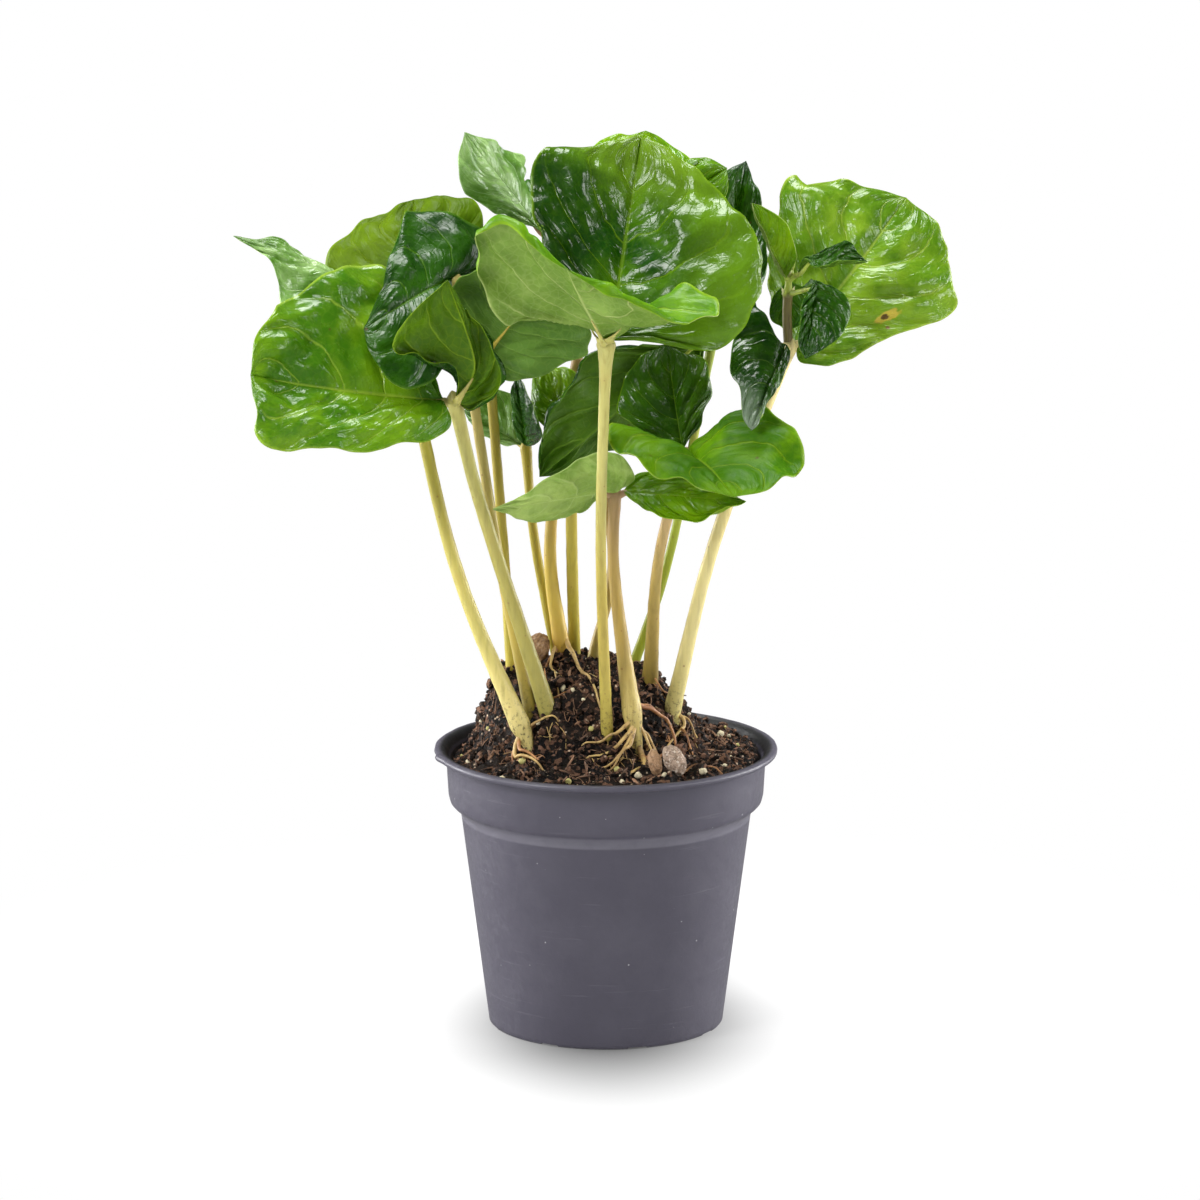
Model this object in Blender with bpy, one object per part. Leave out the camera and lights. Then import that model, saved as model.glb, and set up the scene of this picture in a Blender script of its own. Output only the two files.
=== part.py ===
"""Potted coffee plant: thirteen seedlings standing in a mound of soil in a plastic nursery pot.

Millimetres below, metres in Blender. The origin is the middle of the pot's underside, +Z is up and
+Y is the back. Each seedling is a bare stem with two round seed leaves on its top; the tallest one
has already grown a young shoot with four pointed leaves.
"""
import math

import bmesh
import bpy
import numpy as np
from mathutils import Matrix, Vector

MM = 0.001
GAP = 0.35

POT_RADIUS = 60.0
POT_HEIGHT = 99.0
POT_SIDES = 44
FOOT_RADIUS = 41.2
SHOULDER_RADIUS = 50.6
SHOULDER_Z = 75.0
COLLAR_RADIUS = 55.0
COLLAR_Z = 81.0
WALL = 1.3
FLOOR = 2.4
DRAINS = 8
DRAIN_HEIGHT = 1.2
DRAIN_WIDTH = 7.0
DRAIN_INNER_RADIUS = 23.0
DRAIN_HOLE_RADIUS = 2.6
DRAIN_HOLE_RING = 30.0

SOIL_Z = 96.0
SOIL_FALL = 0.03
MOUND_HEIGHT = 28.5
MOUND_X = -12.0
MOUND_Y = 14.0
MOUND_LEFT = 31.0
MOUND_RIGHT = 39.0
MOUND_FRONT = 35.0
MOUND_BACK = 34.0
MOUND_STEEP = 7.0
MOUND_LEFT_STEEPER = 8.0
HEAP_HEIGHT = 5.0
HEAP_X = -14.0
HEAP_Y = 12.0
HEAP_REACH = 6.5
PLANTING_DEPTH = 6.0
SOCKET_RINGS = 4

STEM_RADIUS = 1.95
STEM_SIDES = 8
STEM_RINGS = 11
FLARE_FADE = 26.0
BLADE = 0.8
SHOOT_BLADE = 0.5
BLADE_ROWS = 10
BLADE_COLUMNS = 3
STALK_ROWS = 3
STALK_HALF_WIDTH = 0.9
ROOT_SIDES = 6
ROOT_RINGS = 9
HUSK_SKIN = 0.5

COLOURS = dict(pot=(0.085, 0.08, 0.105), soil=(0.035, 0.022, 0.016), stem=(0.5, 0.42, 0.14),
               leaf=(0.06, 0.22, 0.012), shoot_stalk=(0.16, 0.15, 0.03), shoot_leaf=(0.1, 0.28, 0.015),
               shoot_bud=(0.2, 0.42, 0.03), root=(0.56, 0.36, 0.13), husk_pale=(0.42, 0.36, 0.28),
               husk_brown=(0.2, 0.12, 0.07))
ROUGHNESS = dict(pot=0.42, soil=0.95, stem=0.5, leaf=0.28, shoot_stalk=0.5, shoot_leaf=0.25,
                 shoot_bud=0.3, root=0.6, husk_pale=0.8, husk_brown=0.85)

# Each seedling: where its stem leaves the soil, a place it passes halfway, its top, its thickness
# beside STEM_RADIUS, how much thicker it gets lower down, how far above the soil the crown is where
# it starts to thin into its root, and its two seed leaves. A leaf is set out by its tip and by a few
# places along the edge of its left and right halves from base to tip, seen from the base with the
# glossy side up.
# via is a place on a bent midrib, arch lifts a straight one, cup lifts the middle of each half
# (left, right) and ripple is how far the edge waves, how many times, and where the waves start.
SEEDLINGS = (
    dict(foot=(-26.8, -21), waist=(-52.8, -15, 169), top=(-72, -6, 255),
         thick=1.07, flare=0.75, crown=8, leaves=(
        dict(tip=(-129, 6, 279), arch=3, cup=(2, 1), ripple=(1, 3, 0),
             left=((-83, -12, 249), (-99, -14, 249), (-112, -10, 259), (-115, -3, 271)),
             right=((-85, 3, 255), (-99, 6, 265), (-113, 9, 276))),
        dict(tip=(-67, 34, 287), arch=2, cup=(2, 2), ripple=(1, 3, 1),
             left=((-84, 12, 260), (-98, 20, 264), (-93, 24, 274), (-79, 31, 283)),
             right=((-60, 10, 259), (-48, 22, 269), (-43, 30, 282), (-53, 35, 288))))),
    dict(foot=(-20.3, -15.8), waist=(-43, -22, 189), top=(-52, -30, 228),
         thick=1.13, flare=0.5, clear=3.6, leaves=(
        dict(tip=(-121, -46, 240), arch=-3, cup=(3, 3), ripple=(1.2, 4, 0),
             left=((-54, -38, 220), (-72, -49, 216), (-97, -56, 216), (-117, -56, 219),
                   (-119, -54, 230)),
             right=((-64, -20, 244), (-76, -8, 269), (-91, -16, 271), (-105, -26, 266),
                    (-118, -41, 255))),
        dict(tip=(-54, -46, 273), via=(-45, -33, 242), cup=(0, 3),
             left=((-47, -31, 226), (-40, -30, 237), (-45, -33, 254)),
             right=((-51, -38, 241), (-62, -46, 246), (-72, -53, 251), (-67, -53, 261))))),
    dict(foot=(-26.8, -13.6), waist=(-38.4, -4, 174), top=(-52, -2, 265),
         thick=0.9, flare=0.3, leaves=(
        dict(tip=(-83, -31, 253), arch=2, cup=(2, 2), ripple=(0.8, 4, 0),
             left=((-54, -22, 251), (-57, -38, 238), (-68, -42, 235), (-79, -39, 243)),
             right=((-44, 4, 270), (-43, 11, 281), (-67, 12, 287), (-72, 0, 280),
                    (-78, -20, 263))),
        dict(tip=(-24, 28, 274), cup=(2, 2),
             left=((-45, 16, 270), (-38, 25, 277), (-31, 28, 278)),
             right=((-42, 12, 260), (-30, 20, 263), (-24, 26, 268))))),
    dict(foot=(-33, 6), waist=(-36, 8, 171), top=(-41, 2, 240),
         thick=0.88, flare=0.2, clear=3.2, leaves=(
        dict(tip=(-19, -38, 273), cup=(2, 3), ripple=(0.8, 3, 0),
             left=((-39, -2, 231), (-23, -10, 233), (-6, -26, 245), (-9, -37, 261)),
             right=((-48, -8, 243), (-53, -22, 265), (-41, -32, 276))),
        dict(tip=(-40, 55, 231), arch=4, cup=(2, 2), ripple=(1, 3, 0),
             left=((-54, 12, 240), (-60, 28, 236), (-54, 47, 231)),
             right=((-28, 12, 240), (-20, 28, 235), (-26, 48, 230))))),
    dict(foot=(-17.2, 21.5), waist=(-25, 17, 169), top=(-28, 20, 201),
         thick=0.8, flare=0.3, leaves=(
        dict(tip=(-50, 38, 211), cup=(1, 1), ripple=(0.8, 3, 0),
             left=((-36, 23, 202), (-45, 29, 205)),
             right=((-27, 26, 209), (-30, 34, 216), (-41, 39, 218))),
        dict(tip=(-31, 13, 229), cup=(1, 1),
             left=((-31, 20, 207), (-33, 18, 219)),
             right=((-25, 12, 204), (-22, -4, 212), (-27, 4, 224))))),
    dict(foot=(-15.5, 13), waist=(-19, 12, 178), top=(-3, 14, 273),
         thick=0.95, flare=0.6, crown=5, leaves=(
        dict(tip=(14, 42, 310), cup=(2, 2), ripple=(0.8, 3, 0),
             left=((-11, 24, 283), (-10, 35, 297), (-2, 41, 306)),
             right=((14, 22, 277), (31, 30, 288), (32, 36, 296), (23, 41, 306))),
        dict(tip=(42, 23, 300), cup=(2, 2),
             left=((6, 16, 286), (20, 21, 299), (33, 25, 304)),
             right=((17, 4, 270), (35, 7, 279), (42, 17, 291))))),
    dict(foot=(-11, 22), waist=(-12, 9, 171), top=(-12, 5, 207),
         thick=1.0, flare=0.15, leaves=(
        dict(tip=(-21, 14, 231), cup=(1, 1),
             left=((-19, 8, 209), (-26, 16, 218), (-26, 17, 227)),
             right=((-7, 4, 213), (-5, 3, 224), (-12, 7, 232))),
        dict(tip=(22, 40, 207), arch=4, cup=(2, 2),
             left=((-4, 15, 211), (6, 31, 214), (13, 41, 213)),
             right=((2, 8, 204), (16, 14, 200), (24, 28, 202))))),
    dict(foot=(0.3, -21), waist=(-1.8, -36, 180), top=(0, -44, 250),
         thick=0.93, flare=0.2, leaves=(
        dict(tip=(-13, -88, 284), cup=(-4, 1), ripple=(0.8, 4, 0),
             left=((12, -42, 259), (28, -50, 271), (38, -62, 268), (30, -77, 264),
                   (11, -86, 273)),
             right=((-12, -52, 262), (-34, -60, 261), (-41, -65, 278), (-40, -72, 296),
                    (-31, -80, 298))),
        dict(tip=(12, -2, 315), arch=-4, cup=(3, 4), ripple=(1, 5, 0),
             left=((-6, -34, 262), (-20, -25, 279), (-26, -18, 299), (-20, -12, 312),
                   (-2, -5, 313)),
             right=((18, -45, 251), (39, -42, 248), (52, -37, 266), (51, -28, 285),
                    (37, -16, 300), (24, -8, 310))))),
    dict(foot=(10.8, -21.5), waist=(3, -17, 162), top=(3, -18, 193),
         thick=0.9, flare=1.0, crown=13, clear=3.4, leaves=(
        dict(tip=(-39, -30, 190), cup=(-2, -2), ripple=(0.8, 3, 0),
             left=((9, -24, 198), (5, -30, 209), (-9, -33, 208), (-24, -33, 198)),
             right=((-5, -13, 188), (-19, -13, 183.5), (-31, -20, 185))),
        dict(tip=(48, -36, 194), cup=(-1, -2),
             left=((12, -18, 201), (26, -21.5, 199.5), (39, -27, 197)),
             right=((10, -28, 191), (21, -38, 189), (36, -43, 190))))),
    dict(foot=(15.4, 5.5), waist=(18.2, -11, 168), top=(27, -18, 206),
         thick=0.87, flare=0.75, leaves=(
        dict(tip=(43, -70, 202.5), arch=3, cup=(2, 2), ripple=(1, 4, 0),
             left=((33, -16, 213), (48, -22, 224), (63, -34, 221), (67, -47, 211),
                   (57, -61, 204)),
             right=((17, -18, 213), (2, -27, 218), (3, -40, 213), (20, -57, 207))),
        dict(tip=(21, 2, 241), cup=(2, 2), ripple=(0.8, 4, 0),
             left=((18, -16, 211), (5, -12, 220), (6, -7, 230), (12, -2, 238)),
             right=((32, -15, 217), (36, -9, 227), (34, -2, 237))))),
    dict(foot=(9.5, 15), waist=(22.6, 13, 166), top=(37, 12, 241),
         thick=0.75, flare=0.3, clear=2.8, leaves=(
        dict(tip=(49, 38, 300), cup=(2, 2), ripple=(0.8, 4, 0),
             left=((34, 17, 254), (33, 25, 276), (38, 34, 294)),
             right=((47, 14, 249), (56, 22, 262), (54, 33, 285))),
        dict(tip=(-23, -14, 198), cup=(2, 2),
             left=((20, 8, 241), (-3, -2, 240), (-14, -9, 226), (-22, -14, 215)),
             right=((31, 6, 220), (22, 7, 201), (0, 2, 204), (-12, -8, 198))))),
    dict(foot=(23, -1), waist=(38, -9, 175), top=(63, -12, 243),
         thick=1.08, flare=0.5, clear=3.4, leaves=(
        dict(tip=(104, 14, 291), via=(87, 0, 270), cup=(3, 3), ripple=(1, 5, 0),
             left=((57, 8, 254), (58.5, 12, 277), (61, 17, 292), (66, 19, 298.5),
                   (72, 18, 295.5), (85, 17, 296)),
             right=((68, -13, 237.5), (84, -14, 239), (96, -12, 246), (120, -9, 255),
                    (120, -2, 268), (113, 9, 284))),
        dict(tip=(49.5, -42, 220), cup=(2, 2), ripple=(0.8, 4, 0),
             left=((63, -19, 239.5), (56, -33, 228), (52.5, -40, 222)),
             right=((56, -14, 248), (51, -12, 259), (43, -20, 244), (46, -35, 229),
                    (47, -39, 223.5))))),
    dict(foot=(-5, 24), waist=(1.6, 27, 170), top=(-20, 30, 275),
         thick=0.8, flare=0.2, leaves=(
        dict(tip=(-49, 14, 314), cup=(2, 2), ripple=(0.8, 3, 0),
             left=((-30, 24, 281), (-43, 14, 289), (-51, 8, 298)),
             right=((-26.5, 34, 286), (-30, 41, 296), (-30, 44, 301), (-39, 28, 308))),
        dict(tip=(-18, 82, 288), arch=3, cup=(2, 2),
             left=((-30, 47, 282), (-29, 61, 288), (-26, 76, 290)),
             right=((-8, 42, 281), (-1, 60, 286), (-7, 78, 286))))),
)

# The young shoot that rises between the seed leaves of seedling 12: its stalk, and its leaves, each
# with a short stalk of its own that ends at neck, if it has one.
SHOOT_PATH = ((63, -12, 244.6), (62.3, -12, 255), (63, -12, 271))
SHOOT_RADIUS = 1.5
SHOOT_LEAVES = dict(
    upright=dict(base=(62, -14.8, 268), tip=(50, -15, 294), cup=(-1, -1),
                 left=((58.5, -16, 275), (53, -17, 286)),
                 right=((65.5, -16, 276), (63, -15.5, 285), (57.5, -15, 291))),
    folded=dict(base=(65.2, -13, 268), neck=(69, -20, 275), tip=(89, -34, 277), cup=(-1, -1),
                left=((77, -20, 280), (83, -26, 283)),
                right=((74, -30, 275), (81, -36, 277))),
    drooping=dict(base=(65, -13.5, 263), neck=(71, -22, 267), tip=(68, -38, 244), cup=(1, 1),
                  left=((79, -20, 266), (84, -24, 259), (79, -33, 250)),
                  right=((67, -30, 261), (66, -36, 250))),
    shaded=dict(base=(63, -8.8, 266), tip=(63.5, -7.5, 248.5),
                left=((70, -9.3, 262), (71, -8.3, 253)),
                right=((57.3, -8.5, 260), (57, -7.5, 252))),
)

# Bare roots, named by the seedling they belong to: thickness, then their run from the stem outward
# as (x, y, how high they clear the soil). Those that leave a crown arch down to the soil.
ROOTS = dict(
    seedling_01_root=(0.9, ((-32, -24, 3.6), (-31, -26.5, 2.2), (-27, -30, 1), (-21.5, -35, 0))),
    seedling_09_tap_root=(1.1, ((13, -25.5, 0), (12.8, -34, 0.3), (7, -44, 0))),
    seedling_09_root_a=(0.75, ((5, -24.8, 6), (-1, -25, 2.5), (-8.5, -24.8, 0))),
    seedling_09_root_b=(0.8, ((6, -26.4, 4.5), (0.5, -28.8, 2), (-7.5, -30, 0))),
    seedling_09_root_c=(0.7, ((8, -28, 4), (3.5, -30.5, 2), (-3, -33, 0))),
    seedling_09_root_d=(0.7, ((15.2, -22.5, 4), (16.2, -26, 2), (15.7, -32, 0))),
    seedling_09_root_e=(0.8, ((15, -18, 10), (20, -15, 8.5), (24.2, -14.5, 2.5))),
    seedling_12_root=(0.8, ((27.6, -2.8, 2.5), (25.6, -8, 1.5), (20, -19.5, 0.3))),
    seedling_06_root=(0.8, ((-12, 8, 1.5), (-8.5, 1, 1), (-5, -9, 0.5), (-2, -16, 0.3))),
)

# Dry husks of the beans, propped up on the soil: place, length, width, turns about X, Y and Z, and
# how far the middle stands above the soil.
HUSKS = dict(
    husk_pale=((23.6, -40.5), 11.5, 7.5, (40, 54, -35), 5.0),
    husk_brown=((16.9, -41.5), 9.5, 5.0, (45, 68, -56), 4.2),
)


def smooth_path(points, count):
    """Even samples of a Catmull-Rom curve through the points."""
    p = np.array(points, float)
    p = np.vstack([2 * p[0] - p[1], p, 2 * p[-1] - p[-2]])
    spans = len(p) - 3
    out = []
    for u in np.linspace(0, spans, count):
        i = min(int(u), spans - 1)
        t = u - i
        a, b, c, d = p[i:i + 4]
        out.append(0.5 * (2 * b + (c - a) * t + (2 * a - 5 * b + 4 * c - d) * t * t
                          + (3 * b - a - 3 * c + d) * t ** 3))
    return np.array(out)


def even_path(points, count):
    """Points spaced evenly along a smooth curve."""
    dense = smooth_path(points, 24 * (len(points) - 1) + 1)
    run = np.concatenate([[0], np.cumsum(np.linalg.norm(np.diff(dense, axis=0), axis=1))])
    return np.array([[np.interp(s, run, dense[:, k]) for k in range(3)]
                     for s in np.linspace(0, run[-1], count)])


def unit(v):
    return v / np.linalg.norm(v)


def soil_height(x, y):
    """Height of the soil: a fall to the back, and a mound, steepest on its left, with a small heap on top."""
    dx = (x - MOUND_X) / (MOUND_LEFT if x < MOUND_X else MOUND_RIGHT)
    dy = (y - MOUND_Y) / (MOUND_FRONT if y < MOUND_Y else MOUND_BACK)
    away = math.hypot(dx, dy)
    steep = MOUND_STEEP + MOUND_LEFT_STEEPER * (min(dx, 0) / max(away, 1e-6)) ** 2
    mound = MOUND_HEIGHT / (1 + away ** steep)
    heap = HEAP_HEIGHT * math.exp(-(math.hypot(x - HEAP_X, y - HEAP_Y) / HEAP_REACH) ** 2)
    clods = 0.9 * math.sin(0.31 * x + 1.1) * math.cos(0.27 * y) + 0.5 * math.sin(0.61 * y - 0.4 * x)
    return SOIL_Z - SOIL_FALL * y + mound + heap + clods


def add_tube(work, path, radii, sides):
    """Add a closed tube along the path to a mesh: a disc that is extruded from point to point."""
    path = [Vector(point) for point in path]
    last = len(path) - 1
    ways = [(path[min(i + 1, last)] - path[max(i - 1, 0)]).normalized() for i in range(last + 1)]
    stand = Matrix.LocRotScale(path[0], ways[0].to_track_quat("Z", "Y"), None)
    disc = bmesh.ops.create_circle(work, cap_ends=True, segments=sides, radius=radii[0], matrix=stand)
    face = disc["verts"][0].link_faces[0]
    for i in range(last):
        end = [face, *face.edges, *face.verts]
        extruded = bmesh.ops.extrude_face_region(work, geom=end)["geom"]
        bend = ways[i].rotation_difference(ways[i + 1])
        for vert in (part for part in extruded if isinstance(part, bmesh.types.BMVert)):
            vert.co = path[i + 1] + bend @ (vert.co - path[i]) * radii[i + 1] / radii[i]
        face = next(part for part in extruded if isinstance(part, bmesh.types.BMFace))


def add_turned(work, profile):
    """Add a solid turned round Z to a mesh, from a profile that starts and ends on the axis."""
    line = [work.verts.new((radius, 0, z)) for radius, z in profile]
    edges = [work.edges.new(pair) for pair in zip(line, line[1:])]
    bmesh.ops.spin(work, geom=line + edges, axis=(0, 0, 1), angle=2 * math.pi, steps=POT_SIDES)
    bmesh.ops.remove_doubles(work, verts=work.verts, dist=0.01)


def edge_and_rib(leaf, side, base, across, rows):
    """Matching rows of points on the edge and on the midrib, the stalk's rows first if it has one."""
    tip = np.array(leaf["tip"], float)
    start, edge, rib = base, [], []
    if "neck" in leaf:
        neck = np.array(leaf["neck"], float)
        way = unit(neck - base)
        out = unit(across - way * np.dot(across, way)) * (-1 if side == "left" else 1)
        start = neck + out * STALK_HALF_WIDTH
        steps = np.linspace(0, 1, STALK_ROWS, endpoint=False)[:, None]
        edge = list(base + (start - base) * steps)
        rib = list(base + (neck - base) * steps)
        base = neck
    spine = smooth_path([base] + ([leaf["via"]] if "via" in leaf else []) + [tip], 101)
    blade_edge = even_path([start] + list(leaf[side]) + [tip], rows + 1 - len(edge))
    stations = np.linspace(0, 1, len(blade_edge)) ** 1.35
    return edge + list(blade_edge), rib + [spine[int(round(100 * m))] for m in stations]


def blade_half(leaf, side, base, rows, columns):
    """Rows of points on one half of a blade, each from the midrib out to the edge."""
    tip = np.array(leaf["tip"], float)
    along = tip - base
    middle = {s: np.mean(np.array(leaf[s], float), axis=0) for s in ("left", "right")}
    across = unit(middle["right"] - middle["left"])
    up = unit(np.cross(across, along))
    edge, spine = edge_and_rib(leaf, side, base, across, rows)
    side_up = np.cross(along, middle[side] - (base + tip) / 2)
    side_up = unit(side_up if side == "left" else -side_up)
    cup = leaf.get("cup", (0, 0))[side == "right"]
    swell, waves, phase = leaf.get("ripple", (0, 0, 0))
    widest = max(np.linalg.norm(e - base - along * np.clip(np.dot(e - base, along)
                 / np.dot(along, along), 0, 1)) for e in edge)
    grid = []
    for i, (rim, rib) in enumerate(zip(edge, spine)):
        t = i / rows
        m = t ** 1.35
        rib = rib + up * leaf.get("arch", 0) * 4 * m * (1 - m)
        width = np.linalg.norm(rim - rib)
        row = []
        for j in range(columns + 1):
            q = j / columns
            point = rib + (rim - rib) * q
            point = point + side_up * cup * 4 * q * (1 - q) * min(1, width / widest)
            wave = swell * q * q * math.sin(2 * math.pi * waves * t + phase)
            row.append(point + side_up * wave * min(1, 5 * t, 5 * (1 - t)))
        grid.append(row)
    return grid


def add_blade(work, leaf, base):
    """Add a leaf's middle surface to a mesh, glossy side out: rows of points from edge to edge."""
    base = np.array(base, float)
    left = blade_half(leaf, "left", base, BLADE_ROWS, BLADE_COLUMNS)
    right = blade_half(leaf, "right", base, BLADE_ROWS, BLADE_COLUMNS)
    foot, tip = work.verts.new(left[0][0]), work.verts.new(left[-1][0])
    rows = [[work.verts.new(point) for point in list(reversed(one[1:])) + other]
            for one, other in zip(left[1:-1], right[1:-1])]
    for k in range(2 * BLADE_COLUMNS):
        work.faces.new((foot, rows[0][k + 1], rows[0][k]))
        for low, high in zip(rows, rows[1:]):
            work.faces.new((low[k], low[k + 1], high[k + 1]))
            work.faces.new((low[k], high[k + 1], high[k]))
        work.faces.new((rows[-1][k], rows[-1][k + 1], tip))


def add_pot(work):
    foot, shoulder, collar, rim = FOOT_RADIUS, SHOULDER_RADIUS, COLLAR_RADIUS, POT_RADIUS
    outer = [(0, 0), (foot - 18, 0), (foot - 1, 0), (foot, 1.0), (shoulder, SHOULDER_Z),
             (shoulder + 0.5, SHOULDER_Z + 1.6), (collar - 1.6, COLLAR_Z - 1.8), (collar - 0.3, COLLAR_Z),
             (collar + 0.8, POT_HEIGHT - 4), (collar + 1.8, POT_HEIGHT - 2.6), (rim - 0.5, POT_HEIGHT - 2.2),
             (rim, POT_HEIGHT - 1.2), (rim - 0.6, POT_HEIGHT - 0.2), (rim - 2.0, POT_HEIGHT)]
    inner = [(collar + 1.4, POT_HEIGHT - 0.5), (collar + 0.6 - WALL, POT_HEIGHT - 4),
             (collar - 0.4 - WALL, COLLAR_Z + 0.6), (collar - 1.8 - WALL, COLLAR_Z - 1.2),
             (shoulder - WALL, SHOULDER_Z + 1.2), (foot + 0.5 - WALL, FLOOR + 1.2), (foot - 1 - WALL, FLOOR),
             (0, FLOOR)]
    add_turned(work, outer + inner)


def add_soil(work):
    """Soil that fills the pot with a hair of clearance and heaps up in the middle."""
    clear = WALL + GAP + 0.15
    low = FLOOR + GAP
    sides = [(0, low), (FOOT_RADIUS - 1.4 - clear, low), (FOOT_RADIUS + 0.3 - clear, low + 1.3),
             (SHOULDER_RADIUS - clear, SHOULDER_Z + 1.3), (COLLAR_RADIUS - 1.9 - clear, COLLAR_Z - 1.1),
             (COLLAR_RADIUS - 0.5 - clear, COLLAR_Z + 0.7)]
    edge = COLLAR_RADIUS + 0.3 - clear
    rings = [edge * f for f in (1.0, 0.92, 0.83, 0.74, 0.65, 0.57, 0.49, 0.41, 0.32, 0.22, 0.11, 0)]
    add_turned(work, sides + [(radius, POT_HEIGHT) for radius in rings])
    for vert in work.verts:
        x, y, z = vert.co
        if z > POT_HEIGHT - 0.5:
            fade = min(1.0, (edge - math.hypot(x, y)) / 5)
            vert.co.z = SOIL_Z + (soil_height(x, y) - SOIL_Z) * (0.5 + 0.5 * fade)


def stem_radius(plant, above, reach):
    """Half a stem's thickness at a height above the soil: thickest at its crown and at its top."""
    crown = plant.get("crown", 0)
    flare = 1 + plant["flare"] * math.exp(-max(above - crown, 0) / FLARE_FADE)
    if above < crown:
        flare *= 1 - 0.45 * min(1, (crown - above) / max(crown, 0.1))
    return STEM_RADIUS * plant["thick"] * (flare + 0.34 * math.exp(0.16 * (above - reach)))


def stem_path(plant):
    """Centre line of a stem from below the soil to its top, and its half thickness along it."""
    x, y = plant["foot"]
    foot = np.array((x, y, soil_height(x, y)), float)
    waist, top = np.array(plant["waist"], float), np.array(plant["top"], float)
    down = unit(foot - waist) * 0.6 + np.array((0, 0, -0.4))
    root = foot + unit(down) * PLANTING_DEPTH
    path = np.vstack([root, smooth_path([foot, waist, top], STEM_RINGS)])
    run = np.concatenate([[0], np.cumsum(np.linalg.norm(np.diff(path, axis=0), axis=1))]) - PLANTING_DEPTH
    return path, [stem_radius(plant, above, run[-1]) for above in run]


def add_root(work, thick, run):
    """Add a thin root that follows the soil just above it and tapers to its end."""
    line = smooth_path([(x, y, 0) for x, y, lift in run], ROOT_RINGS)
    steps = np.linspace(0, 1, ROOT_RINGS)
    lifts = np.interp(steps, np.linspace(0, 1, len(run)), [lift for x, y, lift in run])
    path = []
    for (x, y, z), lift in zip(line, lifts):
        ground = max(soil_height(x + dx, y + dy) for dx in (-1.2, 0, 1.2) for dy in (-1.2, 0, 1.2))
        path.append((x, y, ground + thick + GAP + lift))
    add_tube(work, path, [thick * (1 - 0.6 * s) for s in steps], ROOT_SIDES)


def add_husk(work, length, width):
    """Add half a bean's husk: the upper half of an egg, open below."""
    bmesh.ops.create_uvsphere(work, u_segments=12, v_segments=8, radius=0.5)
    lower = [vert for vert in work.verts if vert.co.z < -0.01]
    bmesh.ops.delete(work, geom=lower, context="VERTS")
    bmesh.ops.scale(work, vec=(length, width, 0.76 * width), verts=work.verts)


def leaf_base(plant, leaf):
    """Where a seed leaf starts: just clear of the stem's top, on the side it leans to."""
    top, waist = np.array(plant["top"], float), np.array(plant["waist"], float)
    axis = unit(top - waist)
    middle = np.mean(np.array(leaf["left"] + leaf["right"] + (leaf["tip"],), float), axis=0)
    lean = middle - top
    lean = unit(lean - axis * np.dot(lean, axis))
    return top + lean * plant.get("clear", 1.6) + axis * 1.3


def plain_material(name, kind):
    material = bpy.data.materials.new(name)
    material.use_nodes = True
    shader = material.node_tree.nodes["Principled BSDF"]
    shader.inputs["Base Color"].default_value = (*COLOURS[kind], 1)
    shader.inputs["Roughness"].default_value = ROUGHNESS[kind]
    shader.inputs["Metallic"].default_value = 0.0
    return material


def finish(name, work, kind=None, origin=(0, 0, 0), parent=None):
    """Turn a mesh in world millimetres into an object in metres with its own origin and material."""
    bmesh.ops.translate(work, vec=-Vector(origin), verts=work.verts)
    bmesh.ops.scale(work, vec=(MM, MM, MM), verts=work.verts)
    bmesh.ops.triangulate(work, faces=[face for face in work.faces if len(face.verts) == 4])
    mesh = bpy.data.meshes.new(name)
    work.to_mesh(mesh)
    work.free()
    mesh.shade_smooth()
    mesh.set_sharp_from_angle(angle=math.radians(40))
    piece = bpy.data.objects.new(name, mesh)
    bpy.context.scene.collection.objects.link(piece)
    piece.parent = parent
    piece.location = Vector(origin) * MM - (parent.location if parent else Vector())
    if kind:
        mesh.materials.append(plain_material(name, kind))
    return piece


def thicken(piece, thickness, offset=0.0):
    """Give an open surface a thickness."""
    skin = piece.modifiers.new("thickness", "SOLIDIFY")
    skin.thickness = thickness * MM
    skin.offset = offset


def add_empty(name, place):
    """A guide that the pieces of one plant are parented to."""
    empty = bpy.data.objects.new(name, None)
    empty.location = Vector(place) * MM
    bpy.context.scene.collection.objects.link(empty)
    return empty


def carve(piece, name, work):
    """Cut a shape out of a piece, leaving the cutter as a hidden wire object."""
    bmesh.ops.recalc_face_normals(work, faces=work.faces)
    cutter = finish(name, work)
    cutter.display_type = "WIRE"
    cutter.hide_render = True
    cut = piece.modifiers.new(name, "BOOLEAN")
    cut.operation = "DIFFERENCE"
    cut.solver = "EXACT"
    cut.object = cutter


def build_pot():
    """The nursery pot, with drain channels under its floor and a round hole in each."""
    work = bmesh.new()
    add_pot(work)
    bmesh.ops.recalc_face_normals(work, faces=work.faces)
    pot = finish("pot", work, "pot")
    channels, holes = bmesh.new(), bmesh.new()
    for k in range(DRAINS):
        turn = Matrix.Rotation(2 * math.pi * (k + 0.35) / DRAINS, 4, "Z")
        reach = POT_RADIUS - DRAIN_INNER_RADIUS
        box = Matrix.LocRotScale((DRAIN_INNER_RADIUS + reach / 2, 0, DRAIN_HEIGHT - 1), None,
                                 (reach, DRAIN_WIDTH, 2))
        bmesh.ops.create_cube(channels, size=1, matrix=turn @ box)
        bmesh.ops.create_cone(holes, cap_ends=True, segments=12, radius1=DRAIN_HOLE_RADIUS,
                              radius2=DRAIN_HOLE_RADIUS, depth=2 * FLOOR,
                              matrix=turn @ Matrix.Translation((DRAIN_HOLE_RING, 0, FLOOR)))
    carve(pot, "channel_cutter", channels)
    carve(pot, "hole_cutter", holes)


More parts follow.
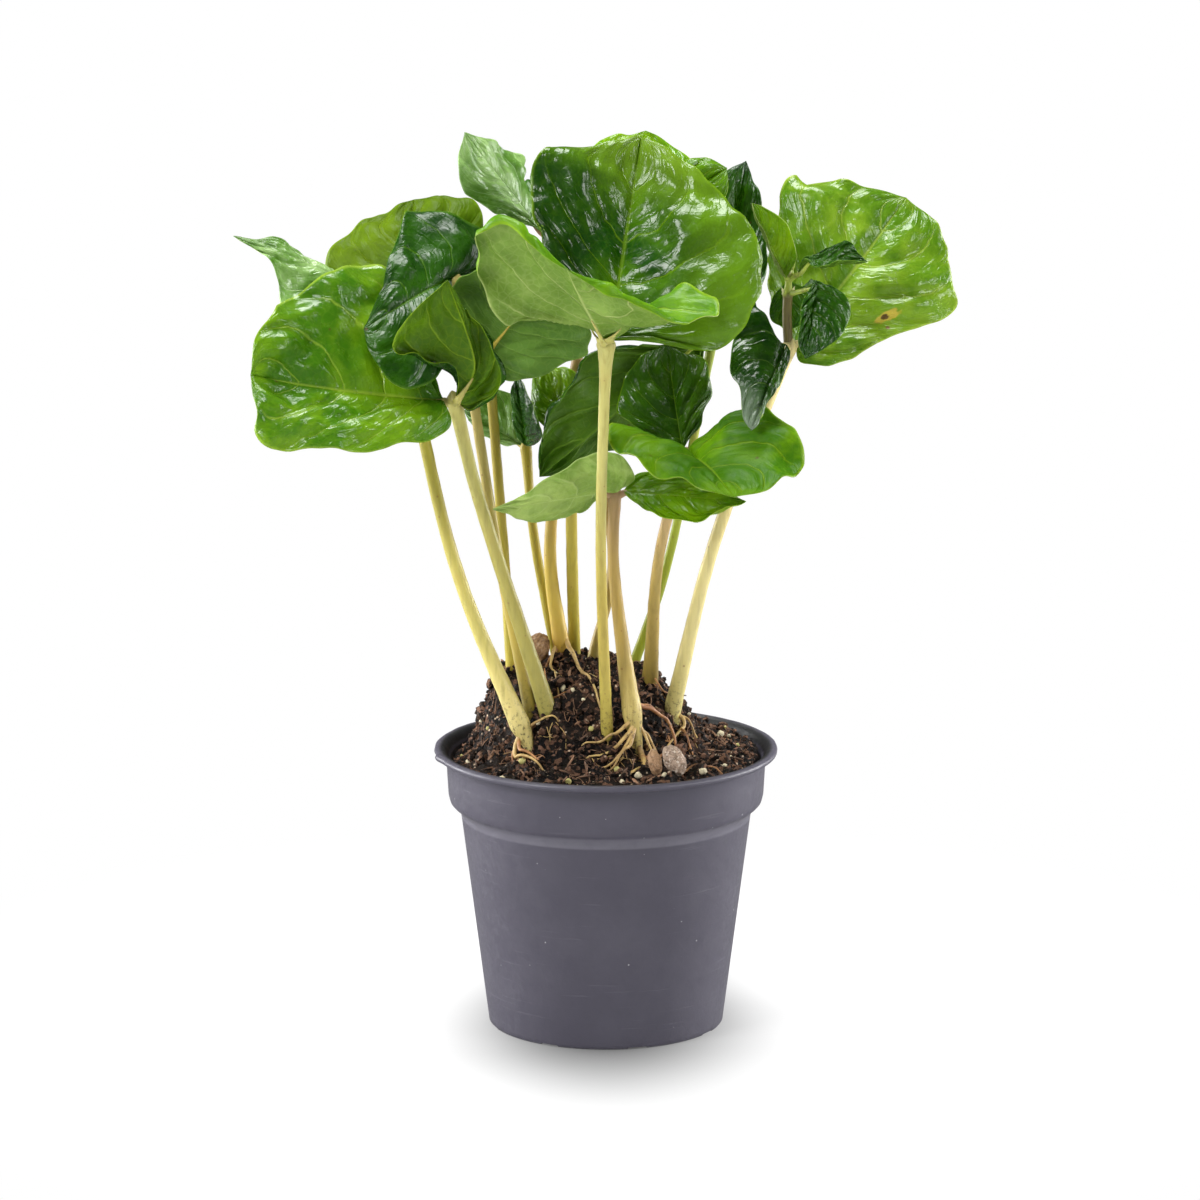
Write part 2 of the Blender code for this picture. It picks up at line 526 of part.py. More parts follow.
def build_soil():
    """The soil, with a socket a hair wider than the stem wherever a seedling stands."""
    work = bmesh.new()
    add_soil(work)
    bmesh.ops.recalc_face_normals(work, faces=work.faces)
    soil = finish("soil", work, "soil")
    sockets = bmesh.new()
    for plant in SEEDLINGS:
        path, radii = stem_path(plant)
        path[0] += unit(path[0] - path[1]) * 0.5
        bore = [radius + GAP + 0.1 for radius in radii[:SOCKET_RINGS]]
        add_tube(sockets, path[:SOCKET_RINGS], bore, STEM_SIDES)
    carve(soil, "planting_cutter", sockets)


def build_tube(name, kind, path, radii, sides, parent):
    work = bmesh.new()
    add_tube(work, path, radii, sides)
    bmesh.ops.recalc_face_normals(work, faces=work.faces)
    finish(name, work, kind, path[0], parent)


def build_leaf(name, kind, leaf, base, thickness, parent):
    work = bmesh.new()
    add_blade(work, leaf, base)
    thicken(finish(name, work, kind, base, parent), thickness)


def build_seedling(number, plant):
    """A stem with its two seed leaves."""
    name = "seedling_%02d" % number
    path, radii = stem_path(plant)
    empty = add_empty(name, path[0])
    build_tube(name + "_stem", "stem", path, radii, STEM_SIDES, empty)
    for letter, leaf in zip("ab", plant["leaves"]):
        build_leaf(name + "_leaf_" + letter, "leaf", leaf, leaf_base(plant, leaf), BLADE, empty)


def build_shoot():
    """The young shoot: a jointed stalk, its leaves and the bud on its end."""
    empty = add_empty("shoot", SHOOT_PATH[0])
    radii = [SHOOT_RADIUS * f for f in (1.1, 1, 0.95, 1.15, 0.9, 0.8)]
    build_tube("shoot_stalk", "shoot_stalk", smooth_path(SHOOT_PATH, len(radii)), radii, STEM_SIDES, empty)
    for name, leaf in SHOOT_LEAVES.items():
        build_leaf("shoot_leaf_" + name, "shoot_leaf", leaf, leaf["base"], SHOOT_BLADE, empty)
    tip = np.array(SHOOT_PATH[-1], float)
    radii = (0.7, 1.1, 1.2, 1.0, 0.6, 0.2)
    path = [tip + (0, 0, 0.5 + 1.4 * i) for i in range(len(radii))]
    build_tube("shoot_bud", "shoot_bud", path, radii, STEM_SIDES, empty)


def build_husk(name, place, length, width, turns, lift):
    """A dry husk that stands on its end on the soil with its back to the front."""
    x, y = place
    ground = max(soil_height(x + dx, y + dy) for dx in (-4, 0, 4) for dy in (-4, 0, 4))
    work = bmesh.new()
    add_husk(work, length, width)
    husk = finish(name, work, name)
    husk.location = Vector((x, y, ground + lift + GAP)) * MM
    husk.rotation_euler = [math.radians(turn) for turn in turns]
    thicken(husk, HUSK_SKIN, -1.0)


def build():
    for thing in list(bpy.data.objects):
        bpy.data.objects.remove(thing)
    build_pot()
    build_soil()
    for number, plant in enumerate(SEEDLINGS, 1):
        build_seedling(number, plant)
    build_shoot()
    for name, (thick, run) in ROOTS.items():
        work = bmesh.new()
        add_root(work, thick, run)
        bmesh.ops.recalc_face_normals(work, faces=work.faces)
        finish(name, work, "root")
    for name, husk in HUSKS.items():
        build_husk(name, *husk)


if __name__ == "__main__":
    build()
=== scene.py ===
import math
import random

import bmesh
import bpy
import numpy as np
from mathutils import Euler, Matrix, Vector, noise


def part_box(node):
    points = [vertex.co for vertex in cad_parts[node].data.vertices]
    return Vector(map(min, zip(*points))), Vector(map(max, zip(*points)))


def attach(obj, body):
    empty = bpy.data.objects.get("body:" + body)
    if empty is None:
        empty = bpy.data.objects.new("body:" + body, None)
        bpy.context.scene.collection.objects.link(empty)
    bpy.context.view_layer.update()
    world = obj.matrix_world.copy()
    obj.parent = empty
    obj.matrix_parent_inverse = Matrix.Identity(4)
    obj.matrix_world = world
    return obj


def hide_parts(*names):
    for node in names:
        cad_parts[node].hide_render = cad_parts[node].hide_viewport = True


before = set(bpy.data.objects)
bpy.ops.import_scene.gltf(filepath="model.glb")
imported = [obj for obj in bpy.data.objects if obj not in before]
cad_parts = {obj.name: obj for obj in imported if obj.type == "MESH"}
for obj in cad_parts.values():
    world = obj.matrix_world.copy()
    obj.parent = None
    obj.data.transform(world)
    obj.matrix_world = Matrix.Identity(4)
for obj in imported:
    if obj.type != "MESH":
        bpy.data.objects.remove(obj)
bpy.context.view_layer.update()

# A cluster of young coffee seedlings in a plastic nursery pot. Sizes are in millimetres, the same
# places as the CAD frame: the origin under the pot's middle, +Z up and +Y to the back.
mm = 0.001
body = "root"
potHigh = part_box("pot")[1]  # the far upper corner of the CAD pot
rimRadius = potHigh.x / mm
rimHeight = potHigh.z / mm


def unit(v):
    return v / max(np.linalg.norm(v), 1e-9)


def smoothPath(points, count):
    # points on a smooth curve that passes through the given ones
    p = np.array(points, float)
    p = np.vstack([2 * p[0] - p[1], p, 2 * p[-1] - p[-2]])
    spans = len(p) - 3
    u = np.linspace(0, spans, count)
    i = np.minimum(u.astype(int), spans - 1)
    t = (u - i)[:, None]
    a, b, c, d = p[i], p[i + 1], p[i + 2], p[i + 3]
    return 0.5 * (2 * b + (c - a) * t + (2 * a - 5 * b + 4 * c - d) * t ** 2
                  + (3 * b - a - 3 * c + d) * t ** 3)


def evenPath(points, count):
    # the same, at even steps of length
    dense = smoothPath(points, 24 * (len(points) - 1) + 1)
    run = np.concatenate([[0], np.cumsum(np.linalg.norm(np.diff(dense, axis=0), axis=1))])
    where = np.linspace(0, run[-1], count)
    return np.stack([np.interp(where, run, dense[:, k]) for k in range(3)], axis=1)


def wobble(point, size, seed=0.0):
    # smooth noise from -1 to 1 whose bumps are about this many millimetres wide
    return noise.noise(Vector((point[0] / size + seed, point[1] / size - seed, point[2] / size + 7.3)))


def turnsRound(sides):
    return [2 * math.pi * k / sides for k in range(sides)]


def ringFaces(rings, sides):
    # the faces between neighbouring rings of points
    faces = []
    for i in range(rings - 1):
        low, high = i * sides, (i + 1) * sides
        for k in range(sides):
            n = (k + 1) % sides
            faces.append((low + k, low + n, high + n, high + k))
    return faces


def placeObject(name, data):
    made = bpy.data.objects.new(name, data)
    bpy.context.scene.collection.objects.link(made)
    return made


def addPiece(name, verts, faces, materials, slotName, faceSlots=None, uv=None, replaces=()):
    mesh = bpy.data.meshes.new(name)
    mesh.from_pydata([tuple(v) for v in np.array(verts, float) * mm], [], faces)
    for material in materials:
        mesh.materials.append(material)
    if faceSlots is not None:
        mesh.polygons.foreach_set("material_index", faceSlots)
    if uv is not None:
        corners = np.zeros(len(mesh.loops), int)
        mesh.loops.foreach_get("vertex_index", corners)
        mesh.uv_layers.new(name="blade").data.foreach_set("uv", np.array(uv)[corners].ravel())
    mesh.shade_smooth()
    piece = placeObject(name, mesh)
    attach(piece, body)
    if replaces:
        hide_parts(*replaces)
    return piece


def tubeShape(path, radii, sides, knobs=0.0, seed=0.0):
    # rings of points round a path, closed with a small dome at each end
    path = np.array(path, float)
    last = len(path) - 1
    ways = [unit(path[min(i + 1, last)] - path[max(i - 1, 0)]) for i in range(last + 1)]
    across = unit(np.cross(ways[0], (0.3, 1.0, 0.1)))
    verts = []
    for point, way, radius in zip(path, ways, radii):
        across = unit(across - way * np.dot(across, way))
        other = np.cross(way, across)
        for turn in turnsRound(sides):
            out = math.cos(turn) * across + math.sin(turn) * other
            swell = 1 + knobs * wobble(point + out * radius, 2.2 * radius + 1, seed)
            verts.append(point + out * radius * swell)
    faces = ringFaces(last + 1, sides)
    low = len(verts)
    verts.append(path[0] - ways[0] * radii[0] * 0.5)
    verts.append(path[-1] + ways[-1] * radii[-1] * 0.5)
    for k in range(sides):
        n = (k + 1) % sides
        faces.append((low, n, k))
        faces.append((low + 1, last * sides + k, last * sides + n))
    return verts, faces


def joinShapes(shapes):
    verts, faces = [], []
    for someVerts, someFaces in shapes:
        start = len(verts)
        verts.extend(someVerts)
        faces.extend(tuple(start + v for v in face) for face in someFaces)
    return verts, faces


def newMaterial(name):
    material = bpy.data.materials.new(name)
    material.use_nodes = True
    return material, material.node_tree, material.node_tree.nodes["Principled BSDF"]


def addNode(tree, kind, inputs=None, **settings):
    made = tree.nodes.new("ShaderNode" + kind)
    for key, value in settings.items():
        setattr(made, key, value)
    for key, value in (inputs or {}).items():
        if isinstance(value, bpy.types.NodeSocket):
            tree.links.new(value, made.inputs[key])
        else:
            made.inputs[key].default_value = value
    return made


def maths(tree, operation, a, b=0.0):
    return addNode(tree, "Math", {0: a, 1: b}, operation=operation).outputs[0]


def product(tree, a, b):
    return maths(tree, "MULTIPLY", a, b)


def total(tree, a, b):
    return maths(tree, "ADD", a, b)


def reachOf(tree, x, y):
    # how far a place lies from the upright axis
    return maths(tree, "SQRT", total(tree, product(tree, x, x), product(tree, y, y)))


def ramp(tree, value, low, high, start=0.0, end=1.0):
    # a smooth change from start to end while value goes from low to high
    made = addNode(tree, "MapRange", {"Value": value, "From Min": low, "From Max": high,
                                      "To Min": start, "To Max": end})
    made.interpolation_type = "SMOOTHSTEP"
    return made.outputs["Result"]


def spanRamp(tree, length, span, start=0.0, end=1.0):
    # the same for a length or a height, over a span in millimetres
    return ramp(tree, length, span[0] * mm, span[1] * mm, start, end)


# the scale of a noise, of streaks or of cells is about how many of its bumps lie in a metre
def noiseOf(tree, place, scale, detail=3.0, rough=0.5, warp=0.0):
    return addNode(tree, "TexNoise", {"Vector": place, "Scale": scale, "Detail": detail,
                                      "Roughness": rough, "Distortion": warp}).outputs["Fac"]


def streaksOf(tree, place, scales, detail=3.0, rough=0.6):
    # noise drawn out along the axis with the smallest scale
    drawn = addNode(tree, "Mapping", {"Vector": place, "Scale": scales}).outputs[0]
    return noiseOf(tree, drawn, 1.0, detail, rough)


def cellsOf(tree, place, scale):
    return addNode(tree, "TexVoronoi", {"Vector": place, "Scale": scale}).outputs


def cellChance(tree, cells, channel=0):
    # a number from 0 to 1 that every cell has for itself
    return addNode(tree, "SeparateColor", {0: cells["Color"]}).outputs[channel]


def mixColour(tree, share, a, b):
    made = addNode(tree, "Mix", data_type="RGBA")
    for socket, value in ((made.inputs[0], share), (made.inputs[6], a), (made.inputs[7], b)):
        if isinstance(value, bpy.types.NodeSocket):
            tree.links.new(value, socket)
        elif socket.type == "RGBA":
            socket.default_value = (*value, 1)
        else:
            socket.default_value = value
    return made.outputs[2]


def objectPlace(tree):
    return addNode(tree, "TexCoord").outputs["Object"]


def bumpOf(tree, height, strength, depth):
    return addNode(tree, "Bump", {"Height": height, "Strength": strength,
                                  "Distance": depth * mm}).outputs["Normal"]


def surface(tree, shader, colour, roughness, normal):
    for socket, value in (("Base Color", colour), ("Roughness", roughness), ("Normal", normal)):
        tree.links.new(value, shader.inputs[socket])


cameraLook = dict(
    aim=(-2.1, 0.0, 151.3), rise=12.6, distance=2616.0, farthest=50000.0, lens=225.0, sensor=36.0,
)
lightLook = dict(
    keys=(  # place, size and strength of each soft lamp, all aimed at the plant
        dict(place=(-950, -850, 1050), size=540, power=21.0),
        dict(place=(1150, -750, 750), size=460, power=9.0),
        dict(place=(-150, 350, 1500), size=700, power=30.0),
        dict(place=(-1300, 450, 260), size=900, power=33.0),
        dict(place=(1300, 450, 260), size=900, power=34.0),
    ),
    aim=(0, 0, 180), sky=0.24, mirroredSky=0.12, mirroredFloor=0.4,
    floorSize=6000.0, paper=(0.86, 0.86, 0.86, 1), white=(1, 1, 1, 1),
    shadow=0.16, shadowReach=(100.0, 280.0),
    # the painted shadow under the pot: how much it stretches to the front and back, and the span over which
    # it fades
    paintedShadowLength=0.52, paintedShadowReach=(10.0, 68.0),
)


def makeCamera():
    look = cameraLook
    rise = math.radians(look["rise"])
    away = Vector((0, math.cos(rise), -math.sin(rise)))
    camera = placeObject("camera", bpy.data.cameras.new("camera"))
    camera.data.lens = look["lens"]
    camera.data.sensor_width = look["sensor"]
    camera.data.clip_end = look["farthest"] * mm
    camera.location = (Vector(look["aim"]) - away * look["distance"]) * mm
    camera.rotation_euler = (math.pi / 2 - rise, 0, 0)
    bpy.context.scene.camera = camera


def makeLights():
    aim = Vector(lightLook["aim"])
    for number, lamp in enumerate(lightLook["keys"]):
        light = bpy.data.lights.new("softbox%d" % number, "AREA")
        light.shape = "SQUARE"
        light.size = lamp["size"] * mm
        light.energy = lamp["power"]
        holder = placeObject("softbox%d" % number, light)
        place = Vector(lamp["place"])
        holder.location = place * mm
        holder.rotation_euler = (aim - place).to_track_quat("-Z", "Y").to_euler()


def makeWorld():
    # plain white to the camera, and dimmer skies for the light and for what the leaves mirror
    world = bpy.data.worlds.new("studio")
    bpy.context.scene.world = world
    world.use_nodes = True
    tree = world.node_tree
    background = tree.nodes["Background"]
    background.inputs["Color"].default_value = lightLook["white"]
    path = addNode(tree, "LightPath").outputs
    sky = lightLook["sky"]
    direct = product(tree, path["Is Camera Ray"], 1 - sky)
    mirrored = product(tree, path["Is Glossy Ray"], lightLook["mirroredSky"] - sky)
    strength = total(tree, total(tree, sky, direct), mirrored)
    tree.links.new(strength, background.inputs["Strength"])


def makeFloor():
    half = lightLook["floorSize"] * mm / 2
    mesh = bpy.data.meshes.new("floor")
    mesh.from_pydata([(-half, -half, 0), (half, -half, 0), (half, half, 0), (-half, half, 0)], [],
                     [(0, 1, 2, 3)])
    floor = placeObject("floor", mesh)
    material, tree, shader = newMaterial("paper")
    tree.nodes.remove(shader)
    paper = addNode(tree, "BsdfDiffuse", {"Color": lightLook["paper"]})
    white = addNode(tree, "Emission", {"Color": lightLook["white"]})
    dimmer = addNode(tree, "Emission", {"Color": lightLook["white"],
                                        "Strength": lightLook["mirroredFloor"]})
    # near the pot the floor shows a pale shadow; further out it is plain white to the eye
    x, y = addNode(tree, "SeparateXYZ", {0: objectPlace(tree)}).outputs[:2]
    share = spanRamp(tree, reachOf(tree, x, y), lightLook["shadowReach"], lightLook["shadow"], 0.0)
    # a painted shadow: the white dims in a soft patch under the pot, longer to the front and the back than
    # to the sides
    paintedShadowDistance = reachOf(tree, x, product(tree, y, lightLook["paintedShadowLength"]))
    tree.links.new(spanRamp(tree, paintedShadowDistance, lightLook["paintedShadowReach"]), white.inputs["Strength"])
    shown = addNode(tree, "MixShader", {0: share, 1: white.outputs[0], 2: paper.outputs[0]})
    path = addNode(tree, "LightPath").outputs
    direct = maths(tree, "MAXIMUM", path["Is Camera Ray"], path["Is Transmission Ray"])
    both = addNode(tree, "MixShader", {0: direct, 1: paper.outputs[0], 2: shown.outputs[0]})
    both = addNode(tree, "MixShader", {0: path["Is Glossy Ray"], 1: both.outputs[0], 2: dimmer.outputs[0]})
    tree.links.new(both.outputs[0], tree.nodes["Material Output"].inputs["Surface"])
    mesh.materials.append(material)


makeCamera()
makeLights()
makeWorld()
makeFloor()
bpy.context.scene.view_settings.view_transform = "Standard"
print("studio ready")


potLook = dict(
    colour=(0.05, 0.046, 0.066), pale=(0.11, 0.105, 0.13), dust=(0.32, 0.32, 0.33), roughness=0.46,
    # how coarse the marks on it are, and the spans of height and radius in which they lie, the painted shade
    # inside and the painted light on the step among them
    cloudScale=38.0, filmScale=260.0, inside=(0.005, 0.005, 0.006), insideReach=(57.2, 59.0),
    insideRadius=54.5, innerShadeFoot=(80.0, 84.0), lip=(96.5, 98.5), lipTop=(95.5, 96.5),
    litStepFoot=(73.9, 74.8), litStepTop=(78.0, 79.2), speckScale=380.0, speckSize=0.13,
    scratchScales=(40.0, 40.0, 900.0),
    # the shell, its drains, and the flash left on its lip
    sides=192, footRadius=41.2, shoulderRadius=50.6, shoulderHeight=75.0, collarRadius=55.0,
    collarHeight=81.0, wall=1.3, floor=2.4, drains=8, drainWidth=7.0, drainHeight=0.7,
    drainStart=23.0, drainTurn=0.35, drainHoleRadius=2.6, drainHoleRing=30.0, drainHoleSides=24,
    flashPlace=194.0, flashSize=1.3, flashWidth=0.045, flashRest=0.18, sharpAngle=50.0,
)


def potMaterial():
    look = potLook
    material, tree, shader = newMaterial("dustyNurseryPlastic")
    place = objectPlace(tree)
    x, y, height = addNode(tree, "SeparateXYZ", {0: place}).outputs
    cloud = noiseOf(tree, place, look["cloudScale"], 4.0, 0.6)
    film = noiseOf(tree, place, look["filmScale"], 3.0, 0.65)
    colour = mixColour(tree, ramp(tree, cloud, 0.35, 0.75, 0.0, 0.16), look["colour"], look["pale"])
    # paler towards the top of the lip, and a painted light on the step under the collar, where the white
    # floor's bounce falls
    lip = product(tree, spanRamp(tree, height, look["lip"], 0.0, 0.25), film)
    # painted light: the step under the collar is paler, as the floor's bounce would light it
    step = product(tree, spanRamp(tree, height, look["litStepFoot"]),
                   spanRamp(tree, height, look["litStepTop"], 0.75, 0.0))
    step = product(tree, step, ramp(tree, film, 0.3, 0.6, 0.7, 1.0))
    for lipPaleAndStepLight in (lip, step):
        colour = mixColour(tree, lipPaleAndStepLight, colour, look["pale"])
    # pale dust: a few round specks, and fine short scratches that run round the wall
    specks = cellsOf(tree, place, look["speckScale"])
    size = product(tree, ramp(tree, cellChance(tree, specks), 0.9, 1.0), look["speckSize"])
    speck = maths(tree, "LESS_THAN", specks["Distance"], size)
    colour = mixColour(tree, product(tree, speck, 0.8), colour, look["dust"])
    scratch = ramp(tree, streaksOf(tree, place, look["scratchScales"], 2.0, 0.5), 0.66, 0.74, 0.0, 0.22)
    colour = mixColour(tree, scratch, colour, look["pale"])
    # painted shade blackens the inside of the wall, from just above the soil up to the lip
    reach = reachOf(tree, x, y)
    paintedInnerShade = product(tree, spanRamp(tree, reach, look["insideReach"], 1.0, 0.0),
                   spanRamp(tree, height, look["innerShadeFoot"]))
    inside = maths(tree, "LESS_THAN", reach, look["insideRadius"] * mm)
    paintedInnerShade = product(tree, paintedInnerShade, maths(tree, "MAXIMUM", inside, spanRamp(tree, height, look["lipTop"])))
    colour = mixColour(tree, paintedInnerShade, colour, look["inside"])
    roughness = ramp(tree, film, 0.3, 0.7, look["roughness"] - 0.06, look["roughness"] + 0.1)
    relief = total(tree, film, product(tree, scratch, 2.0))
    surface(tree, shader, colour, roughness, bumpOf(tree, relief, 0.25, 0.2))
    return material


def makePot():
    look = potLook
    rim = rimRadius
    foot, shoulder, collar = look["footRadius"], look["shoulderRadius"], look["collarRadius"]
    low, high, wall, bottom = look["shoulderHeight"], look["collarHeight"], look["wall"], look["floor"]
    # the profile as (radius, height), up the outside, over the rim and down the inside
    outer = [(foot - 18, 0), (foot - 1.4, 0), (foot - 0.5, 0.15), (foot, 0.8), (foot + 0.15, 2.0)]
    outer += [(foot + 0.15 + (shoulder - foot - 0.2) * s, 2.0 + (low - 3.0) * s)
              for s in (0.08, 0.2, 0.35, 0.5, 0.65, 0.8, 0.92, 1.0)]
    outer += [(shoulder + 0.1, low), (shoulder + 0.5, low + 1.3), (shoulder + 1.2, low + 2.4),
              (shoulder + 2.2, low + 3.4), (collar - 1.2, low + 4.2), (collar - 0.5, low + 5.0),
              (collar - 0.2, high), (collar + 0.1, high + 1.4), (collar + 0.5, high + 8),
              (collar + 0.8, rimHeight - 4), (collar + 1.1, rimHeight - 3.2),
              (collar + 1.9, rimHeight - 2.6),
              (rim - 1.2, rimHeight - 2.45), (rim - 0.4, rimHeight - 2.1), (rim, rimHeight - 1.3),
              (rim - 0.2, rimHeight - 0.6), (rim - 0.8, rimHeight - 0.15), (rim - 1.6, rimHeight),
              (rim - 2.4, rimHeight - 0.1)]
    inner = [(collar + 1.5, rimHeight - 0.6), (collar + 0.9, rimHeight - 1.6),
             (collar + 0.6 - wall, rimHeight - 4), (collar - 0.4 - wall, high + 0.6),
             (collar - 1.8 - wall, high - 1.2), (shoulder - wall, low + 1.2),
             (foot + 0.5 - wall, bottom + 1.2), (foot - 1 - wall, bottom)]
    profile = outer + inner
    sides = look["sides"]
    verts = [(0, 0, 0)]
    flashTurn = math.radians(look["flashPlace"])
    for radius, height in profile:
        for turn in turnsRound(sides):
            # a thin wall is never quite round, and the mould left a nick of flash on the lip
            bend = 0.22 * math.sin(2 * turn + 0.7) + 0.12 * math.sin(5 * turn)
            flash = 0.0
            if height > rimHeight - 2.6 and radius > rim - 3:
                flash = look["flashSize"] * math.exp(-((turn - flashTurn) / look["flashWidth"]) ** 2)
                edge = (radius * math.cos(turn), radius * math.sin(turn), 0)
                flash += look["flashRest"] * wobble(edge, 6, 3.0)
            r = radius + bend * height / rimHeight + flash
            verts.append((r * math.cos(turn), r * math.sin(turn), height + 0.3 * flash))
    verts.append((0, 0, bottom))
    faces = []
    for k in range(sides):
        n = (k + 1) % sides
        faces.append((0, 1 + n, 1 + k))
        for i in range(len(profile) - 1):
            lower, upper = 1 + i * sides, 1 + (i + 1) * sides
            faces.append((lower + k, lower + n, upper + n, upper + k))
        top = 1 + (len(profile) - 1) * sides
        faces.append((top + k, top + n, len(verts) - 1))
    pot = addPiece("nurseryPot", verts, faces, [potMaterial()], "pot", replaces=("pot",))
    cutDrains(pot)
    pot.data.set_sharp_from_angle(angle=math.radians(look["sharpAngle"]))


def cutDrains(pot):
    # shallow channels under the floor, each with a round hole
    look = potLook
    work = bmesh.new()
    start = look["drainStart"]
    reach = rimRadius - start
    for k in range(look["drains"]):
        turn = Matrix.Rotation(2 * math.pi * (k + look["drainTurn"]) / look["drains"], 4, "Z")
        box = Matrix.LocRotScale((start + reach / 2, 0, look["drainHeight"] - 1), None,
                                 (reach, look["drainWidth"], 2))
        bmesh.ops.create_cube(work, size=1, matrix=turn @ box)
        hole = Matrix.Translation((look["drainHoleRing"], 0, look["floor"]))
        bmesh.ops.create_cone(work, cap_ends=True, segments=look["drainHoleSides"],
                              radius1=look["drainHoleRadius"], radius2=look["drainHoleRadius"],
                              depth=2 * look["floor"], matrix=turn @ hole)
    bmesh.ops.scale(work, vec=(mm, mm, mm), verts=work.verts)
    mesh = bpy.data.meshes.new("drainCutter")
    work.to_mesh(mesh)
    work.free()
    cutter = placeObject("drainCutter", mesh)
    cut = pot.modifiers.new("drains", "BOOLEAN")
    cut.object = cutter
    cut.use_self = True
    bpy.context.view_layer.update()
    whole = bpy.data.meshes.new_from_object(pot.evaluated_get(bpy.context.evaluated_depsgraph_get()))
    pot.modifiers.clear()
    pot.data = whole
    bpy.data.objects.remove(cutter)


makePot()
print("pot made")


soilLook = dict(
    dark=(0.002, 0.0015, 0.0015), mid=(0.017, 0.011, 0.008), rust=(0.2, 0.105, 0.066),
    fleck=(0.55, 0.42, 0.3), roughness=0.92, shine=0.12,
    patchScale=130.0, grainScale=700.0, fleckScale=850.0, fineScale=900.0,
    barkScale=95.0, barkDark=(0.06, 0.028, 0.016), barkPale=(0.36, 0.19, 0.1),
    barkGrain=(0.03, 0.016, 0.01),
    # the slope, the mound with its reach to each side, the heap on it, and how far the soil has sunk
    level=96.0, fall=0.03, moundHeight=28.5, moundX=-12.0, moundY=14.0, left=31.0, right=39.0,
    front=35.0, back=34.0, steep=7.0, leftSteeper=8.0, heapHeight=5.0,
    heapX=-14.0, heapY=12.0, heapReach=6.5, sunk=2.4, sunkFrom=42.0, sunkOver=8.0,
    # the rim of the soil, and the rings under it as (radius, height)
    edge=53.4, below=((53.0, 82.5), (52.0, 80.2), (48.6, 76.0), (39.6, 4.2), (38.0, 2.8)),
    lumps=((1.8, 8.5), (2.2, 4.1), (1.3, 2.1), (0.7, 1.1)),  # height and size, coarsest first
    # beside the wall the lumps are calmer
    calmFrom=54.0, calmOver=5.0, calm=0.45, sides=260, rings=120,
    grains=(2600, 0.3, 0.7), crumbs=(900, 0.5, 1.3), clods=(170, 1.2, 2.6),  # how many, least, most
    chips=150, fibres=190,
)
beadLook = dict(
    perlite=(0.56, 0.49, 0.33), prill=(0.4, 0.36, 0.12), shade=0.35, dirtScale=420.0,
    share=0.82, stray=26,
    places=(  # where the larger pale beads lie, (x, y, size, 1 for a greenish fertiliser bead)
        (-15.0, -9.8, 2.8, 0), (-11.5, -13.0, 2.2, 0), (-17.8, -4.5, 1.8, 0), (-23.6, -18.8, 2.0, 0),
        (-48.0, -15.0, 2.6, 0), (-29.1, -32.5, 3.1, 1), (-41.2, -3.0, 2.0, 1), (-5.2, -22.8, 2.4, 1),
        (3.8, -36.0, 2.8, 1), (-13.1, -48.0, 3.0, 1), (5.5, -47.8, 2.2, 0), (11.0, -43.5, 3.2, 0),
        (29.1, 9.0, 1.8, 0), (40.2, 15.8, 3.4, 0), (43.0, 16.8, 2.2, 0), (33.5, -37.8, 3.2, 0),
        (-36.0, -38.0, 2.2, 0), (20.0, -45.0, 2.6, 0), (44.0, -12.0, 2.4, 0), (-44.0, 12.0, 2.8, 0),
        (-8.0, 46.0, 3.0, 1), (28.0, 36.0, 2.6, 0), (-30.0, 34.0, 2.4, 1), (46.0, 2.0, 2.0, 1),
    ),
)
dice = random.Random(7)


def soilHeight(x, y):
    # the smooth height of the soil: a slope, the steep mound, a small heap on it and a slow swell
    look = soilLook
    dx = (x - look["moundX"]) / (look["left"] if x < look["moundX"] else look["right"])
    dy = (y - look["moundY"]) / (look["front"] if y < look["moundY"] else look["back"])
    away = math.hypot(dx, dy)
    steep = look["steep"] + look["leftSteeper"] * (min(dx, 0) / max(away, 1e-6)) ** 2
    mound = look["moundHeight"] / (1 + away ** steep)
    fromHeap = math.hypot(x - look["heapX"], y - look["heapY"]) / look["heapReach"]
    heap = look["heapHeight"] * math.exp(-fromHeap ** 2)
    swell = 0.9 * math.sin(0.31 * x + 1.1) * math.cos(0.27 * y) + 0.5 * math.sin(0.61 * y - 0.4 * x)
    return look["level"] - look["fall"] * y + mound + heap + swell


def crumbly(x, y):
    # the soil's own lumps, from clods down to grit
    point = (x, y, soilHeight(x, y))
    (clod, clodSize), (lump, lumpSize), (crumb, crumbSize), (grit, gritSize) = soilLook["lumps"]
    coarse = clod * wobble(point, clodSize, 1.0) + lump * wobble(point, lumpSize, 5.0)
    fine = crumb * abs(wobble(point, crumbSize, 9.0)) + grit * wobble(point, gritSize, 14.0)
    return coarse + fine


def soilTop(x, y):
    # the soil has sunk beside the wall, most at the back and on the left
    look = soilLook
    reach = math.hypot(x, y)
    near = min(1.0, max(0.0, (look["calmFrom"] - reach) / look["calmOver"]))
    outward = min(1.0, max(0.0, (reach - look["sunkFrom"]) / look["sunkOver"]))
    sunk = look["sunk"] * max(0.0, (y - 0.7 * x) / max(reach, 1e-6)) * outward
    rough = look["calm"] + (1 - look["calm"]) * near
    return soilHeight(x, y) + crumbly(x, y) * rough - 0.6 * (1 - near) - sunk


